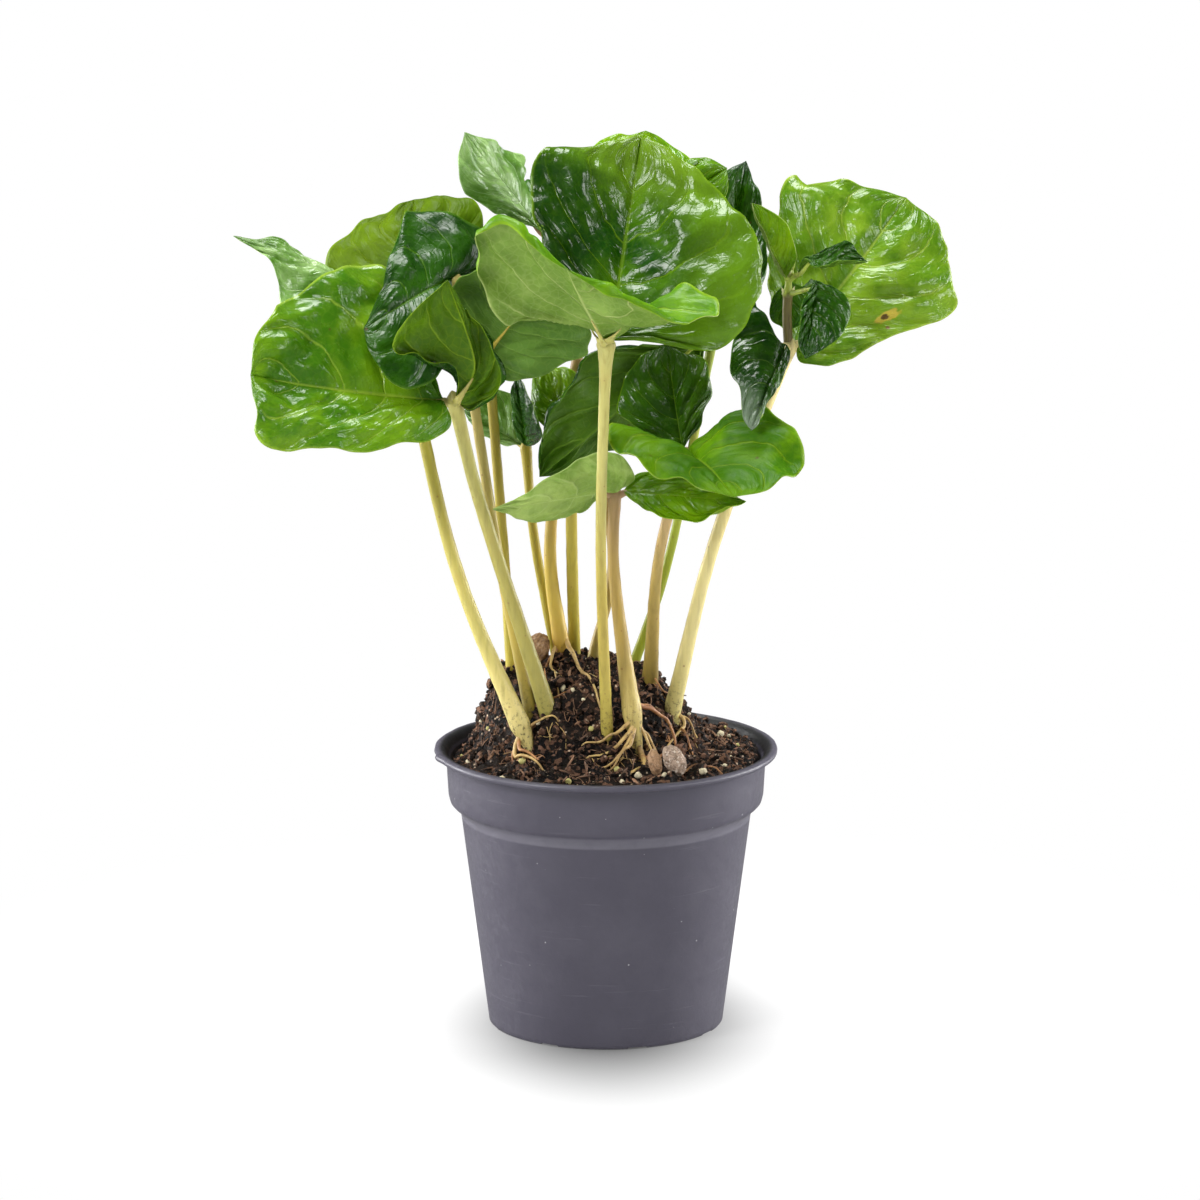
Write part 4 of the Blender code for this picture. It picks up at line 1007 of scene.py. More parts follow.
def bladeMap(tree, place):
    # where a point lies on its blade: along, across, how far from the midrib, and its vein number
    blade = addNode(tree, "UVMap", uv_map="blade").outputs[0]
    along, across = addNode(tree, "SeparateXYZ", {0: blade}).outputs[:2]
    side = maths(tree, "ABSOLUTE", maths(tree, "SUBTRACT", product(tree, across, 2.0), 1.0))
    drift = maths(tree, "SUBTRACT", noiseOf(tree, place, leafLook["driftScale"], 2.0), 0.5)
    number = maths(tree, "SUBTRACT", product(tree, along, veinUnits),
                   product(tree, maths(tree, "POWER", side, 1.5), leafLook["bend"]))
    return along, across, side, total(tree, number, product(tree, drift, 0.35))


def leafTones(tree, place, along, across, mottle, tones, tone):
    # light and shade in patches, and for a few tones a painted shade and light on the halves and a painted
    # light toward the tip
    shade, light = tones[:2]
    patches = noiseOf(tree, place, leafLook["patchScale"], 4.0, 0.6, 0.6)
    colour = mixColour(tree, ramp(tree, patches, 0.38, 0.66), shade, light)
    colour = mixColour(tree, ramp(tree, mottle, 0.45, 0.75, 0.0, 0.25), colour, light)
    if tone in leafLook["halves"]:
        left, right = leafLook["halves"][tone]
        # painted shade on the left half toward the base, and painted light on the right half
        shaded = product(tree, ramp(tree, across, 0.2, 0.5, 0.85, 0.0),
                         ramp(tree, along, 0.17, 0.33, 1.0, 0.15))
        colour = mixColour(tree, shaded, colour, left)
        colour = mixColour(tree, ramp(tree, across, 0.6, 0.9, 0.0, 0.6), colour, right)
    # painted light toward the tip: lighter green on one tone, a whitish painted sheen on the other
    if tone in leafLook["paintedTipLight"]:
        colour = mixColour(tree, ramp(tree, along, 0.26, 0.4, 0.0, 0.6), colour, leafLook["paintedTipLight"][tone])
    return colour


def leafMaterial(name, tones, isUnder, tone="", scars=()):
    look = leafLook
    material, tree, shader = newMaterial(name)
    place = objectPlace(tree)
    along, across, side, number = bladeMap(tree, place)
    lateral = product(tree, ramp(tree, maths(tree, "PINGPONG", number, 0.5), 0.008, 0.04, 1.0, 0.0),
                      ramp(tree, side, 0.7, 0.98, 0.85, 0.1))
    veins = maths(tree, "MAXIMUM", ramp(tree, side, 0.006, 0.028, 1.0, 0.0), lateral)
    net = addNode(tree, "TexVoronoi", {"Vector": place, "Scale": look["netScale"]},
                  feature="DISTANCE_TO_EDGE")
    net = ramp(tree, net.outputs["Distance"], 0.0, 0.12, 1.0, 0.0)
    mottle = noiseOf(tree, place, look["mottleScale"], 3.0, 0.6)
    light, vein = tones[1:]
    colour = leafTones(tree, place, along, across, mottle, tones, tone)
    margin = ramp(tree, side, 0.965, 1.0, 0.0, 0.6)
    fineLines = product(tree, net, 0.16 if isUnder else 0.05)
    boldLines = product(tree, veins, 0.75 if isUnder else 0.5)
    for lines in (fineLines, boldLines, margin):
        colour = mixColour(tree, lines, colour, vein)
    # a few tiny brown flecks, and the scars that this leaf has
    spots = cellsOf(tree, place, look["fleckScale"])
    spot = product(tree, maths(tree, "GREATER_THAN", cellChance(tree, spots, 2), 0.8),
                   ramp(tree, spots["Distance"], 0.035, 0.06, 0.8, 0.0))
    colour = mixColour(tree, spot, colour, look["fleck"])
    for scarPlace, scarSize, scarTurn, scarColour in scars:
        colour = mixColour(tree, scarShare(tree, place, scarPlace, scarSize, scarTurn), colour, scarColour)
    rougher, shine = look["under"] if isUnder else look["duller"].get(tone, look["glossy"])
    dull = look["roughness"] + rougher
    # small folds drawn out beside the side veins, puckers between them and a fine grain
    drawn = addNode(tree, "CombineXYZ", {0: product(tree, number, 5.0), 1: product(tree, side, 3.2),
                                         2: 1.7}).outputs[0]
    folds = noiseOf(tree, drawn, 1.0, 2.0, 0.45, 0.4)
    puckers = noiseOf(tree, place, look["puckerScale"], 2.0, 0.5)
    relief = total(tree, product(tree, folds, 1.3), product(tree, puckers, 0.6))
    relief = total(tree, relief, product(tree, net, 0.1 if isUnder else -0.05))
    relief = total(tree, relief, product(tree, veins, 0.5 if isUnder else -0.5))
    normal = bumpOf(tree, relief, 0.6 if isUnder else 0.65, 0.9)
    surface(tree, shader, colour, ramp(tree, mottle, 0.3, 0.7, dull - 0.04, dull + 0.08), normal)
    shader.inputs["Specular IOR Level"].default_value = shine
    # light from behind shines through the blade
    glow = addNode(tree, "BsdfTranslucent", {"Normal": normal})
    through = mixColour(tree, 0.6, colour, tuple(min(1.0, c * 1.6) for c in light))
    tree.links.new(through, glow.inputs["Color"])
    both = addNode(tree, "MixShader", {0: look["seeThrough"], 1: shader.outputs[0], 2: glow.outputs[0]})
    tree.links.new(both.outputs[0], tree.nodes["Material Output"].inputs["Surface"])
    return material


def leafBase(plant, leaf):
    # where a blade starts: beside the stem's top, on the side that the leaf leans to
    top, waist = np.array(plant["top"], float), np.array(plant["waist"], float)
    axis = unit(top - waist)
    middle = np.mean(np.array(leaf["left"] + leaf["right"] + (leaf["tip"],), float), axis=0)
    lean = middle - top
    lean = unit(lean - axis * np.dot(lean, axis))
    return top + lean * plant.get("clear", leafLook["clear"]) + axis * leafLook["lift"]


def edgeAndRib(leaf, side, base, across, rows):
    # matching rows of points on the edge and on the midrib, the stalk's rows first if it has one
    tip = np.array(leaf["tip"], float)
    start, edge, rib = base, np.zeros((0, 3)), np.zeros((0, 3))
    if "neck" in leaf:
        neck = np.array(leaf["neck"], float)
        way = unit(neck - base)
        out = unit(across - way * np.dot(across, way)) * (-1 if side == "left" else 1)
        start = neck + out * leafLook["stalkHalfWidth"]
        steps = np.linspace(0, 1, leafLook["stalkRows"], endpoint=False)[:, None]
        edge, rib = base + (start - base) * steps, base + (neck - base) * steps
        base = neck
    spine = smoothPath([base] + ([leaf["via"]] if "via" in leaf else []) + [tip], 401)
    bladeEdge = evenPath([start] + list(leaf[side]) + [tip], rows + 1 - len(edge))
    stations = np.linspace(0, 1, len(bladeEdge)) ** 1.35
    return np.vstack([edge, bladeEdge]), np.vstack([rib, spine[np.round(400 * stations).astype(int)]])


def halfBlade(leaf, side, base, rows, columns):
    # points of one half, from the midrib out to the edge, row by row from base to tip
    tip = np.array(leaf["tip"], float)
    along = tip - base
    middle = {s: np.mean(np.array(leaf[s], float), axis=0) for s in ("left", "right")}
    across = unit(middle["right"] - middle["left"])
    up = unit(np.cross(across, along))
    edge, rib = edgeAndRib(leaf, side, base, across, rows)
    sideUp = np.cross(along, middle[side] - (base + tip) / 2)
    sideUp = unit(sideUp if side == "left" else -sideUp)
    t = np.linspace(0, 1, rows + 1)
    ahead = np.clip((edge - base) @ along / np.dot(along, along), 0, 1)
    widest = np.linalg.norm(edge - base - ahead[:, None] * along, axis=1).max()
    m = t ** 1.35
    rib = rib + (leaf.get("arch", 0) * 4 * m * (1 - m))[:, None] * up
    width = np.linalg.norm(edge - rib, axis=1)
    q = np.linspace(0, 1, columns + 1)
    # a rolled margin carries on past the edge and turns over to the underside
    hem = np.zeros(len(edge))
    if side in leaf.get("hem", {}):
        start, end, wide = leaf["hem"][side]
        hem = wide * np.sin(math.pi * np.clip((t - start) / (end - start), 0, 1)) ** 0.6
    run = q[None, :] * (width + hem)[:, None]
    flat = np.minimum(run / np.maximum(width, 1e-6)[:, None], 1)
    points = rib[:, None] + (edge - rib)[:, None] * flat[:, :, None]
    roll = np.maximum(hem / leafLook["hemTurn"], 1e-6)[:, None]
    turned = np.where(hem[:, None] > 0.01, np.maximum(run - width[:, None], 0) / roll, 0)
    out = (edge - rib) / np.maximum(width, 1e-6)[:, None]
    points = points + (roll * np.sin(turned))[:, :, None] * out[:, None]
    points = points - (roll * (1 - np.cos(turned)))[:, :, None] * sideUp
    cup = leaf.get("cup", (0, 0))[side == "right"] * np.minimum(1, width / widest)
    swell, waves, phase = leaf.get("ripple", (0, 0, 0))
    fade = np.minimum(1, np.minimum(5 * t, 5 * (1 - t)))
    lift = cup[:, None] * 4 * flat * (1 - flat)
    lift = lift + (swell * np.sin(2 * math.pi * waves * t + phase) * fade)[:, None] * flat ** 2
    return points + lift[:, :, None] * sideUp


def gridNormals(grid):
    along = np.gradient(grid, axis=0)
    across = np.gradient(grid, axis=1)
    normals = np.cross(across, along)
    normals[0], normals[-1] = normals[1], normals[-2]
    return normals / np.maximum(np.linalg.norm(normals, axis=2), 1e-9)[:, :, None]


def wobbleGrid(grid, size, seed):
    return np.array([[wobble(point, size, seed) for point in row] for row in grid])


def bladeRelief(grid, number, t, q, small, leaf, seed):
    # how far each place of the blade stands up: swollen between the side veins, with ladders of small
    # folds across, slow waves, a curling crinkled margin and a groove along the midrib
    look = leafLook
    ends = np.minimum(1, np.minimum(6 * t, 7 * (1 - t)))[:, None]
    flank = np.minimum(1, 5 * q) * np.minimum(1, 5 * (1 - q) + 0.3)
    apart = np.abs(number - np.round(number))
    quilt = 1 - np.exp(-(apart / look["quiltGap"]) ** 2)
    rung = np.array([[noise.noise(Vector((1.1 * n + seed, look["rungs"] * x, seed)))
                      for n, x in zip(row, np.linspace(-1, 1, len(q)))] for row in number])
    broad = 0.8 + 0.9 * wobbleGrid(grid, look["quiltSize"], seed + 2)
    relief = look["quilt"] * flank * (quilt - 0.6) * broad
    relief += look["ladder"] * flank * quilt * rung
    relief += look["swell"] * wobbleGrid(grid, look["swellSize"], seed) * np.minimum(1, 3 * q)
    relief += look["cells"] * wobbleGrid(grid, look["cellSize"], seed + 4) * flank
    relief *= leaf.get("pucker", 1.0)
    relief += look["crinkle"] * wobbleGrid(grid, look["crinkleSize"], seed + 9) * q ** 4
    relief -= look["groove"] * np.exp(-(q / look["grooveWidth"]) ** 2)
    return relief * ends * small


def bladeFaces(rows, across):
    # the two skins of a blade between its pointed ends, then the thin edge that joins them
    count = (rows - 1) * across + 2
    tip = count - 1
    skin = []
    for k in range(across - 1):
        skin.append((0, 2 + k, 1 + k))
        for i in range(rows - 2):
            low, high = 1 + i * across, 1 + (i + 1) * across
            skin.append((low + k, low + k + 1, high + k + 1, high + k))
        last = 1 + (rows - 2) * across
        skin.append((last + k, last + k + 1, tip))
    faces = skin + [tuple(p + count for p in reversed(face)) for face in skin]
    edge = [0] + [1 + i * across + across - 1 for i in range(rows - 1)] + [tip]
    edge += [1 + i * across for i in reversed(range(rows - 1))]
    for a, b in zip(edge, edge[1:] + edge[:1]):
        faces.append((b, a, a + count, b + count))
    return faces, [0] * len(skin) + [1] * len(skin) + [1] * len(edge)


def skinPoints(grid):
    # one point at the base, all the rows between, and one at the tip
    return np.concatenate([grid[0, :1], grid[1:-1].reshape(-1, grid.shape[2]), grid[-1, :1]])


def makeLeaf(name, leaf, base, top, under, slotName, seed, replaces):
    look = leafLook
    rows, columns = look["rows"], look["columns"]
    base = np.array(base, float)
    veins = leaf.get("veins", look["veins"])
    left = halfBlade(leaf, "left", base, rows, columns)
    right = halfBlade(leaf, "right", base, rows, columns)
    grid = np.concatenate([left[:, :0:-1], right], axis=1)
    across = 2 * columns + 1
    q = np.abs(np.linspace(-1, 1, across))
    t = np.linspace(0, 1, rows + 1)
    size = np.linalg.norm(np.array(leaf["tip"], float) - base)
    small = min(1.0, size / look["fullSize"])
    number = veins * t[:, None] - look["bend"] * q[None, :] ** 1.3
    # the outline itself is a little uneven
    outward = np.gradient(grid, axis=1) * np.sign(np.linspace(-1, 1, across))[None, :, None]
    uneven = look["uneven"] * small * wobbleGrid(grid, look["unevenSize"], seed + 13) * (q ** 3)[None, :]
    fade = np.minimum(1, np.minimum(6 * t, 6 * (1 - t)))[:, None]
    length = np.maximum(np.linalg.norm(outward, axis=2), 1e-6)
    grid = grid + outward * (uneven * fade / length)[:, :, None]
    relief = bladeRelief(grid, number, t, q, small, leaf, seed)
    grid = grid + relief[:, :, None] * gridNormals(grid)
    normals = gridNormals(grid)
    # thinner to the margin, with the midrib and the side veins raised underneath
    thick = look["thickness"] / 2 * (1 - 0.45 * q ** 4)[None, :]
    apart = number - np.round(number)
    veinLine = np.exp(-(apart / look["veinWidth"]) ** 2) * (1 - 0.8 * q)[None, :]
    ribLine = np.exp(-(q / look["ribWidth"]) ** 2)[None, :] * (1 - 0.85 * t)[:, None]
    raised = look["ribRaise"] * ribLine + look["veinRaise"] * veinLine * np.minimum(1, 5 * q)
    upper = grid + thick[:, :, None] * normals
    lower = grid - (thick + raised * fade * small)[:, :, None] * normals
    u = np.clip(veins * t / veinUnits, 0, 1)
    v = np.linspace(0, 1, across)
    uv = np.stack(np.meshgrid(u, v, indexing="ij"), axis=2)
    uv[[0, -1], 0, 1] = 0.5  # both ends lie on the midrib
    uv = skinPoints(uv)
    faces, faceSlots = bladeFaces(rows, across)
    addPiece(name, np.concatenate([skinPoints(upper), skinPoints(lower)]), faces, [top, under], slotName,
             faceSlots, np.concatenate([uv, uv]), replaces)
    return lower, normals


def leafStalk(start, underside, thick, reach, seed):
    # a round stalk from the stem into the underside of the leaf, where it thins out into the midrib
    rib, normals = (grid[:, leafLook["columns"]] for grid in underside)
    rows = [int(round(reach * s * (len(rib) - 1))) for s in (0.12, 0.3, 0.55, 1.0)]
    radii = thick * np.array((1.0, 0.95, 0.8, 0.62, 0.42, 0.18))
    first = start + (rib[rows[0]] - start) * 0.4
    path = [start, first] + [rib[row] - normals[row] * radius * (0.5 - 0.7 * row / len(rib))
                             for row, radius in zip(rows, radii[2:])]
    rings = 26
    where = np.linspace(0, 5, rings)
    return tubeShape(smoothPath(path, rings), np.interp(where, range(6), radii), 14, 0.06, seed)


def funnelShape(start, skin, radius, reach, share):
    # the top of a stem that opens like a funnel and flattens out against the underside of its leaf
    middle = leafLook["columns"]
    row, wing = int(round(reach * (len(skin) - 1))), int(round(share * middle))
    leftEdge, rib, rightEdge = skin[row, middle - wing], skin[row, middle], skin[row, middle + wing]
    across = rightEdge - leftEdge
    half = np.linalg.norm(across) / 2
    hollow = (rightEdge + leftEdge) / 2 - rib
    path = smoothPath([start, (start + skin[0, middle]) / 2, skin[row // 3, middle], rib], 24)
    verts, sides = [], 24
    for i, point in enumerate(path):
        s = i / (len(path) - 1)
        way = unit(path[min(i + 1, len(path) - 1)] - path[max(i - 1, 0)])
        wide = unit(across - way * np.dot(across, way))
        deep = np.cross(way, wide)
        width, depth = radius + (half - radius) * s ** 2.2, radius + (0.15 - radius) * s ** 1.3
        for turn in turnsRound(sides):
            verts.append(point + math.cos(turn) * width * wide + math.sin(turn) * depth * deep
                         + hollow * s ** 2.2 * math.cos(turn) ** 2)
    ends = [tuple(range(sides))[::-1], tuple(range(len(verts) - sides, len(verts)))]
    return verts, ends + ringFaces(len(path), sides)


def makeSeedlings():
    stems = {tone: stemMaterial(tone + "Stem", tones) for tone, tones in stemLook["tones"].items()}
    tops = {tone: leafMaterial(tone + "LeafTop", tones, False, tone)
            for tone, tones in leafLook["tops"].items()}
    unders = {tone: leafMaterial(tone + "LeafUnder", tones, True)
              for tone, tones in leafLook["unders"].items()}
    for number, plant in enumerate(seedlings, 1):
        axis = unit(np.array(plant["top"], float) - np.array(plant["waist"], float))
        start = np.array(plant["top"], float) - axis * stemLook["stalkFoot"]
        thick = stemLook["radius"] * plant["thick"] * stemLook["stalkThick"]
        stalks = []
        for letter, leaf in zip("ab", plant["leaves"]):
            base = leafBase(plant, leaf)
            name = "seedling%02dLeaf%s" % (number, letter.upper())
            seed = number * 3.7 + (letter == "b") * 1.9
            tone = leaf["top"]
            top = tops[tone]
            if "scars" in leaf:
                top = leafMaterial("scarredLeafTop", leafLook["tops"][tone], False, tone, leaf["scars"])
            underside = makeLeaf(name, leaf, base, top, unders[leaf["under"]], "seed_leaf", seed,
                                 ("seedling_%02d_leaf_%s" % (number, letter),))
            stalks.append(leafStalk(start, underside, thick, leaf.get("stalk", leafLook["stalk"]), seed))
            if "funnel" in leaf:
                low = start - axis * stemLook["funnelFoot"]
                stalks.append(funnelShape(low, underside[0], thick * 1.28, *leaf["funnel"]))
        makeStem(number, plant, stems[plant["tone"]], stalks)
    return tops, unders


leafTops, leafUnders = makeSeedlings()
print("seedlings made")


shootLook = dict(
    base=(63, -12, 244.6), middle=(62.3, -12, 255), top=(63, -12, 271), radius=1.5, lowNode=262.0,
    bark=(0.16, 0.13, 0.035), barkDark=(0.07, 0.045, 0.015), green=(0.34, 0.42, 0.06),
    scale=(0.6, 0.58, 0.3), streakScales=(900.0, 900.0, 90.0), greenOver=(-1.5, 1.0),
    planted=3.5, nodeSwell=0.34, nodeReach=0.9, scaleFoot=(62.6, -12), scaleLength=3.0, scaleWidth=0.62,
    stalkFoot=(62.7, -12),
    buds=(  # foot beside the shoot's top, way, length, width and seed of each pointed scale
        ((0, 0, 0), (0.05, -0.1, 1), 8.0, 1.15, 2.0),
        ((0.7, -0.4, 0), (0.3, -0.2, 1), 5.6, 0.7, 3.0),
        ((-0.7, 0.3, 0), (-0.25, 0.1, 1), 6.2, 0.7, 5.0),
    ),
)

# the shoot's leaves: base and neck are the ends of the leaf's own stalk, and the rest is as for the
# leaves of the seedlings
shootLeaves = dict(
    upright=dict(base=(62, -14.8, 268), tip=(50, -15, 294), cup=(-1, -1), top="lime", under="bright",
                 veins=6, pucker=0.6,
                 left=((58.5, -16, 275), (53, -17, 286)),
                 right=((65.5, -16, 276), (63, -15.5, 285), (57.5, -15, 291))),
    folded=dict(base=(65.2, -13, 268), neck=(69, -20, 275), tip=(89, -34, 277), cup=(-1, -1),
                top="deep", under="middle", veins=6, pucker=1.3,
                left=((77, -20, 280), (83, -26, 283)),
                right=((74, -30, 275), (81, -36, 277))),
    drooping=dict(base=(65, -13.5, 263), neck=(71, -22, 267), tip=(68, -38, 244), cup=(1, 1),
                  top="deep", under="middle", veins=7, pucker=1.8,
                  left=((79, -20, 266), (84, -24, 259), (79, -33, 250)),
                  right=((67, -30, 261), (66, -36, 250))),
    shaded=dict(base=(63, -8.8, 266), tip=(63.5, -7.5, 248.5), top="fresh", under="middle", veins=4,
                left=((70, -9.3, 262), (71, -8.3, 253)),
                right=((57.3, -8.5, 260), (57, -7.5, 252))),
)


def shootMaterial(name, low, high, dark):
    look = shootLook
    material, tree, shader = newMaterial(name)
    place = objectPlace(tree)
    height = addNode(tree, "SeparateXYZ", {0: place}).outputs[2]
    streak = streaksOf(tree, place, look["streakScales"])
    over = [look["lowNode"] + step for step in look["greenOver"]]
    colour = mixColour(tree, spanRamp(tree, height, over), low, high)
    colour = mixColour(tree, ramp(tree, streak, 0.45, 0.75, 0.0, 0.7), colour, dark)
    surface(tree, shader, colour, ramp(tree, streak, 0.3, 0.8, 0.36, 0.55), bumpOf(tree, streak, 0.5, 0.2))
    return material


def pointedScale(foot, way, length, width, seed):
    # a small pointed scale that hugs the stalk
    steps = np.linspace(0, 1, 7)
    path = np.array(foot, float) + np.outer(steps * length, unit(np.array(way, float)))
    return tubeShape(path, width * np.array((0.7, 1.0, 0.95, 0.8, 0.55, 0.3, 0.06)), 10, 0.1, seed)


def makeShoot():
    look = shootLook
    path = smoothPath([look["base"] - np.array((0, 0, look["planted"])), look["middle"], look["top"]], 60)
    low, high = look["lowNode"], look["top"][2] - 1.5
    bulge = sum(look["nodeSwell"] * np.exp(-((path[:, 2] - node) / look["nodeReach"]) ** 2)
                for node in (low, high))
    slim = 1.1 - 0.3 * (path[:, 2] > low) * np.minimum(1, (path[:, 2] - low) / 3)
    stalk = [tubeShape(path, look["radius"] * (slim + bulge), 24, 0.05, 4.0)]
    scales = []
    for node, turn in ((low, 0.4), (high, 1.9)):
        for side in (0, math.pi):
            out = np.array((math.cos(turn + side), math.sin(turn + side), 0))
            foot = np.array((*look["scaleFoot"], node - 0.3)) + out * look["radius"] * 0.85
            scales.append(pointedScale(foot, out * 0.45 + (0, 0, 1), look["scaleLength"],
                                       look["scaleWidth"], node + side))
    for number, (name, leaf) in enumerate(shootLeaves.items()):
        underside = makeLeaf("shootLeaf" + name.title(), leaf, leaf["base"], leafTops[leaf["top"]],
                             leafUnders[leaf["under"]], "shoot_leaf", 61.0 + number, ("shoot_leaf_" + name,))
        start = np.array((*look["stalkFoot"], leaf["base"][2] - 1.5))
        stalk.append(leafStalk(start, underside, 1.0, 0.5, 7.0 + number))
    bark = shootMaterial("shootBark", look["bark"], look["green"], look["barkDark"])
    addPiece("shootStalk", *joinShapes(stalk), [bark], "shoot_stalk", replaces=("shoot_stalk",))
    paper = shootMaterial("shootScale", look["scale"], look["scale"], look["bark"])
    addPiece("shootScales", *joinShapes(scales), [paper], "shoot_stalk")
    tip = np.array(look["top"], float) - (0, 0, 1.0)
    buds = [pointedScale(tip + foot, *shape) for foot, *shape in look["buds"]]
    fresh = shootMaterial("shootBudSkin", look["green"], look["green"], look["bark"])
    addPiece("shootBud", *joinShapes(buds), [fresh], "shoot_bud", replaces=("shoot_bud",))


makeShoot()
print("shoot made")


rootLook = dict(
    knobs=0.16, taper=0.62, rootlets=4, twigLength=(3.0, 8.0),
    blotchScale=160.0, grainScale=1100.0, dirtScale=500.0,
    tan=((0.5, 0.34, 0.12), (0.3, 0.18, 0.06)), rusty=((0.42, 0.2, 0.07), (0.22, 0.09, 0.035)),
)

# bare roots: thickness, tone, and the run from the stem outward as (x, y, clearance over the soil)
roots = dict(
    seedling_01_root=(0.9, "tan", ((-29.8, -21.5, 6.5), (-31.6, -23.6, 3.6), (-31, -26.5, 2),
                                   (-27, -30, 0.8), (-21.5, -35, 0))),
    seedling_09_tap_root=(1.2, "tan", ((10.8, -21.5, 1), (12.8, -25.5, 0.6), (12.6, -34, 0.3), (7, -44, 0))),
    seedling_09_root_a=(0.75, "tan", ((9.6, -22, 10), (4.6, -24.8, 6), (-1, -25, 2.3), (-8.5, -24.8, 0))),
    seedling_09_root_b=(0.8, "tan", ((9.8, -22.5, 9), (5.8, -26.4, 4.5), (0.5, -28.8, 1.8),
                                     (-7.5, -30, 0))),
    seedling_09_root_c=(0.75, "tan", ((10, -23, 8), (7.8, -27.6, 4.4), (3.5, -30.5, 1.8), (-3, -33, 0))),
    seedling_09_root_d=(0.6, "tan", ((11.5, -21.5, 9), (14.6, -22.6, 5), (16.2, -26, 2), (15.7, -32, 0))),
    seedling_09_root_e=(0.85, "rusty", ((9.6, -20.5, 13), (14.8, -18, 11), (20, -15, 8.5),
                                        (23.6, -14.2, 4.5), (24.4, -15, 1))),
    seedling_12_root=(0.8, "tan", ((25, -1.4, 4), (27.4, -3.4, 2.5), (25.6, -8, 1.4), (20, -19.5, 0.3))),
    seedling_06_root=(0.85, "tan", ((-14, 11.5, 3), (-11.8, 7.5, 1.8), (-8.5, 1, 0.9), (-5, -9, 0.4),
                                    (-2, -16, 0.2))),
)
# finer ones beside them
rootlets = (
    (0.6, "tan", ((9.9, -23, 8.5), (7, -27, 4.2), (3.2, -32, 1.4), (-0.5, -35.5, 0))),
    (0.6, "rusty", ((10.2, -19.5, 12), (16.5, -15.5, 9.5), (21, -11, 5), (23.4, -11.8, 1.5))),
    (0.65, "rusty", ((12.4, -25.5, 1.2), (17, -27, 1.6), (22.5, -24, 1.6), (28, -17.5, 1))),
    (0.5, "tan", ((11.6, -22, 9), (15.2, -21.4, 5), (17.8, -24.5, 1.2), (19, -30, 0.2))),
    (0.4, "rusty", ((26.5, -36, 1), (32.5, -33, 1.6), (38, -34, 1.2), (43, -35.5, 0.2))),
    (0.6, "tan", ((-27.5, -20.8, 8), (-24.2, -21.4, 5.5), (-20, -20.8, 3), (-16.5, -20.5, 0.6))),
    (0.5, "rusty", ((-30, -21.6, 6), (-32.4, -24, 3), (-31.6, -28, 1), (-28, -33, 0.1))),
    (0.7, "rusty", ((-30.4, -22.4, 5), (-29.6, -25.6, 3.4), (-25.4, -28, 1.6), (-23, -32, 0.1))),
    (0.6, "tan", ((-17.5, 12, 3.5), (-19.4, 6.5, 1.8), (-18, -4, 1.2), (-16.2, -14, 0.4))),
    (0.45, "rusty", ((-17, 11.5, 2.5), (-21, 7, 1.4), (-21.5, -2, 1), (-20.6, -7, 0.2))),
    (0.5, "tan", ((25.2, -1.6, 4), (29, -1.5, 3), (31.4, -4, 1.4), (32, -8, 0.2))),
    (0.45, "rusty", ((26.4, -8, 1.2), (29, -12, 1.2), (31, -15.5, 0.2))),
    (0.4, "rusty", ((16, 3.5, 2), (19.5, 1.2, 2.6), (22.5, 2.6, 2))),
    (0.35, "rusty", ((-22.5, -13, 3), (-17.5, -14.5, 2), (-14, -13, 0.4))),
)


def rootMaterial(name, tones):
    material, tree, shader = newMaterial(name)
    place = objectPlace(tree)
    blotch = noiseOf(tree, place, rootLook["blotchScale"], 4.0, 0.6)
    grain = noiseOf(tree, place, rootLook["grainScale"], 3.0, 0.6, 0.8)
    dirt = noiseOf(tree, place, rootLook["dirtScale"], 4.0, 0.7)
    colour = mixColour(tree, ramp(tree, blotch, 0.4, 0.65), *tones)
    colour = mixColour(tree, ramp(tree, dirt, 0.56, 0.68, 0.0, 0.75), colour, soilLook["mid"])
    normal = bumpOf(tree, total(tree, grain, dirt), 0.5, 0.2)
    surface(tree, shader, colour, ramp(tree, grain, 0.3, 0.7, 0.42, 0.7), normal)
    return material


def rootShape(thick, run, seed, rings=44, sides=12):
    # a bumpy root that follows the crumbs and thins out to its end
    line = smoothPath([(x, y, 0) for x, y, clear in run], rings)
    steps = np.linspace(0, 1, rings)
    clear = np.interp(steps, np.linspace(0, 1, len(run)), [place[2] for place in run])
    ground = np.array([soilTop(*place[:2]) for place in line])
    ground = np.convolve(np.pad(ground, 4, mode="edge"), np.ones(9) / 9, mode="valid")
    line[:, 2] = ground + clear + thick * 0.5
    line[:, 2] += [0.5 * wobble(point, 5.0, seed) for point in line]
    line[-3:, 2] -= np.array((0.3, 0.7, 1.2)) * thick
    return tubeShape(line, thick * (1 - rootLook["taper"] * steps), sides, rootLook["knobs"], seed)


def sideRoots(thick, run, seed):
    # hair roots that leave a root at random places
    shapes = []
    line = smoothPath(run, 40)
    for _ in range(rootLook["rootlets"]):
        x, y = line[dice.randint(6, 36)][:2]
        way, length = dice.uniform(0, 2 * math.pi), dice.uniform(*rootLook["twigLength"])
        ends = [(x + math.cos(way + bend) * length * s, y + math.sin(way + bend) * length * s, 0.3 * s)
                for s, bend in ((0, 0), (0.5, dice.gauss(0, 0.3)), (1, dice.gauss(0, 0.5)))]
        shapes.append(rootShape(thick * dice.uniform(0.22, 0.36), ends, seed + length, 22, 6))
    return shapes


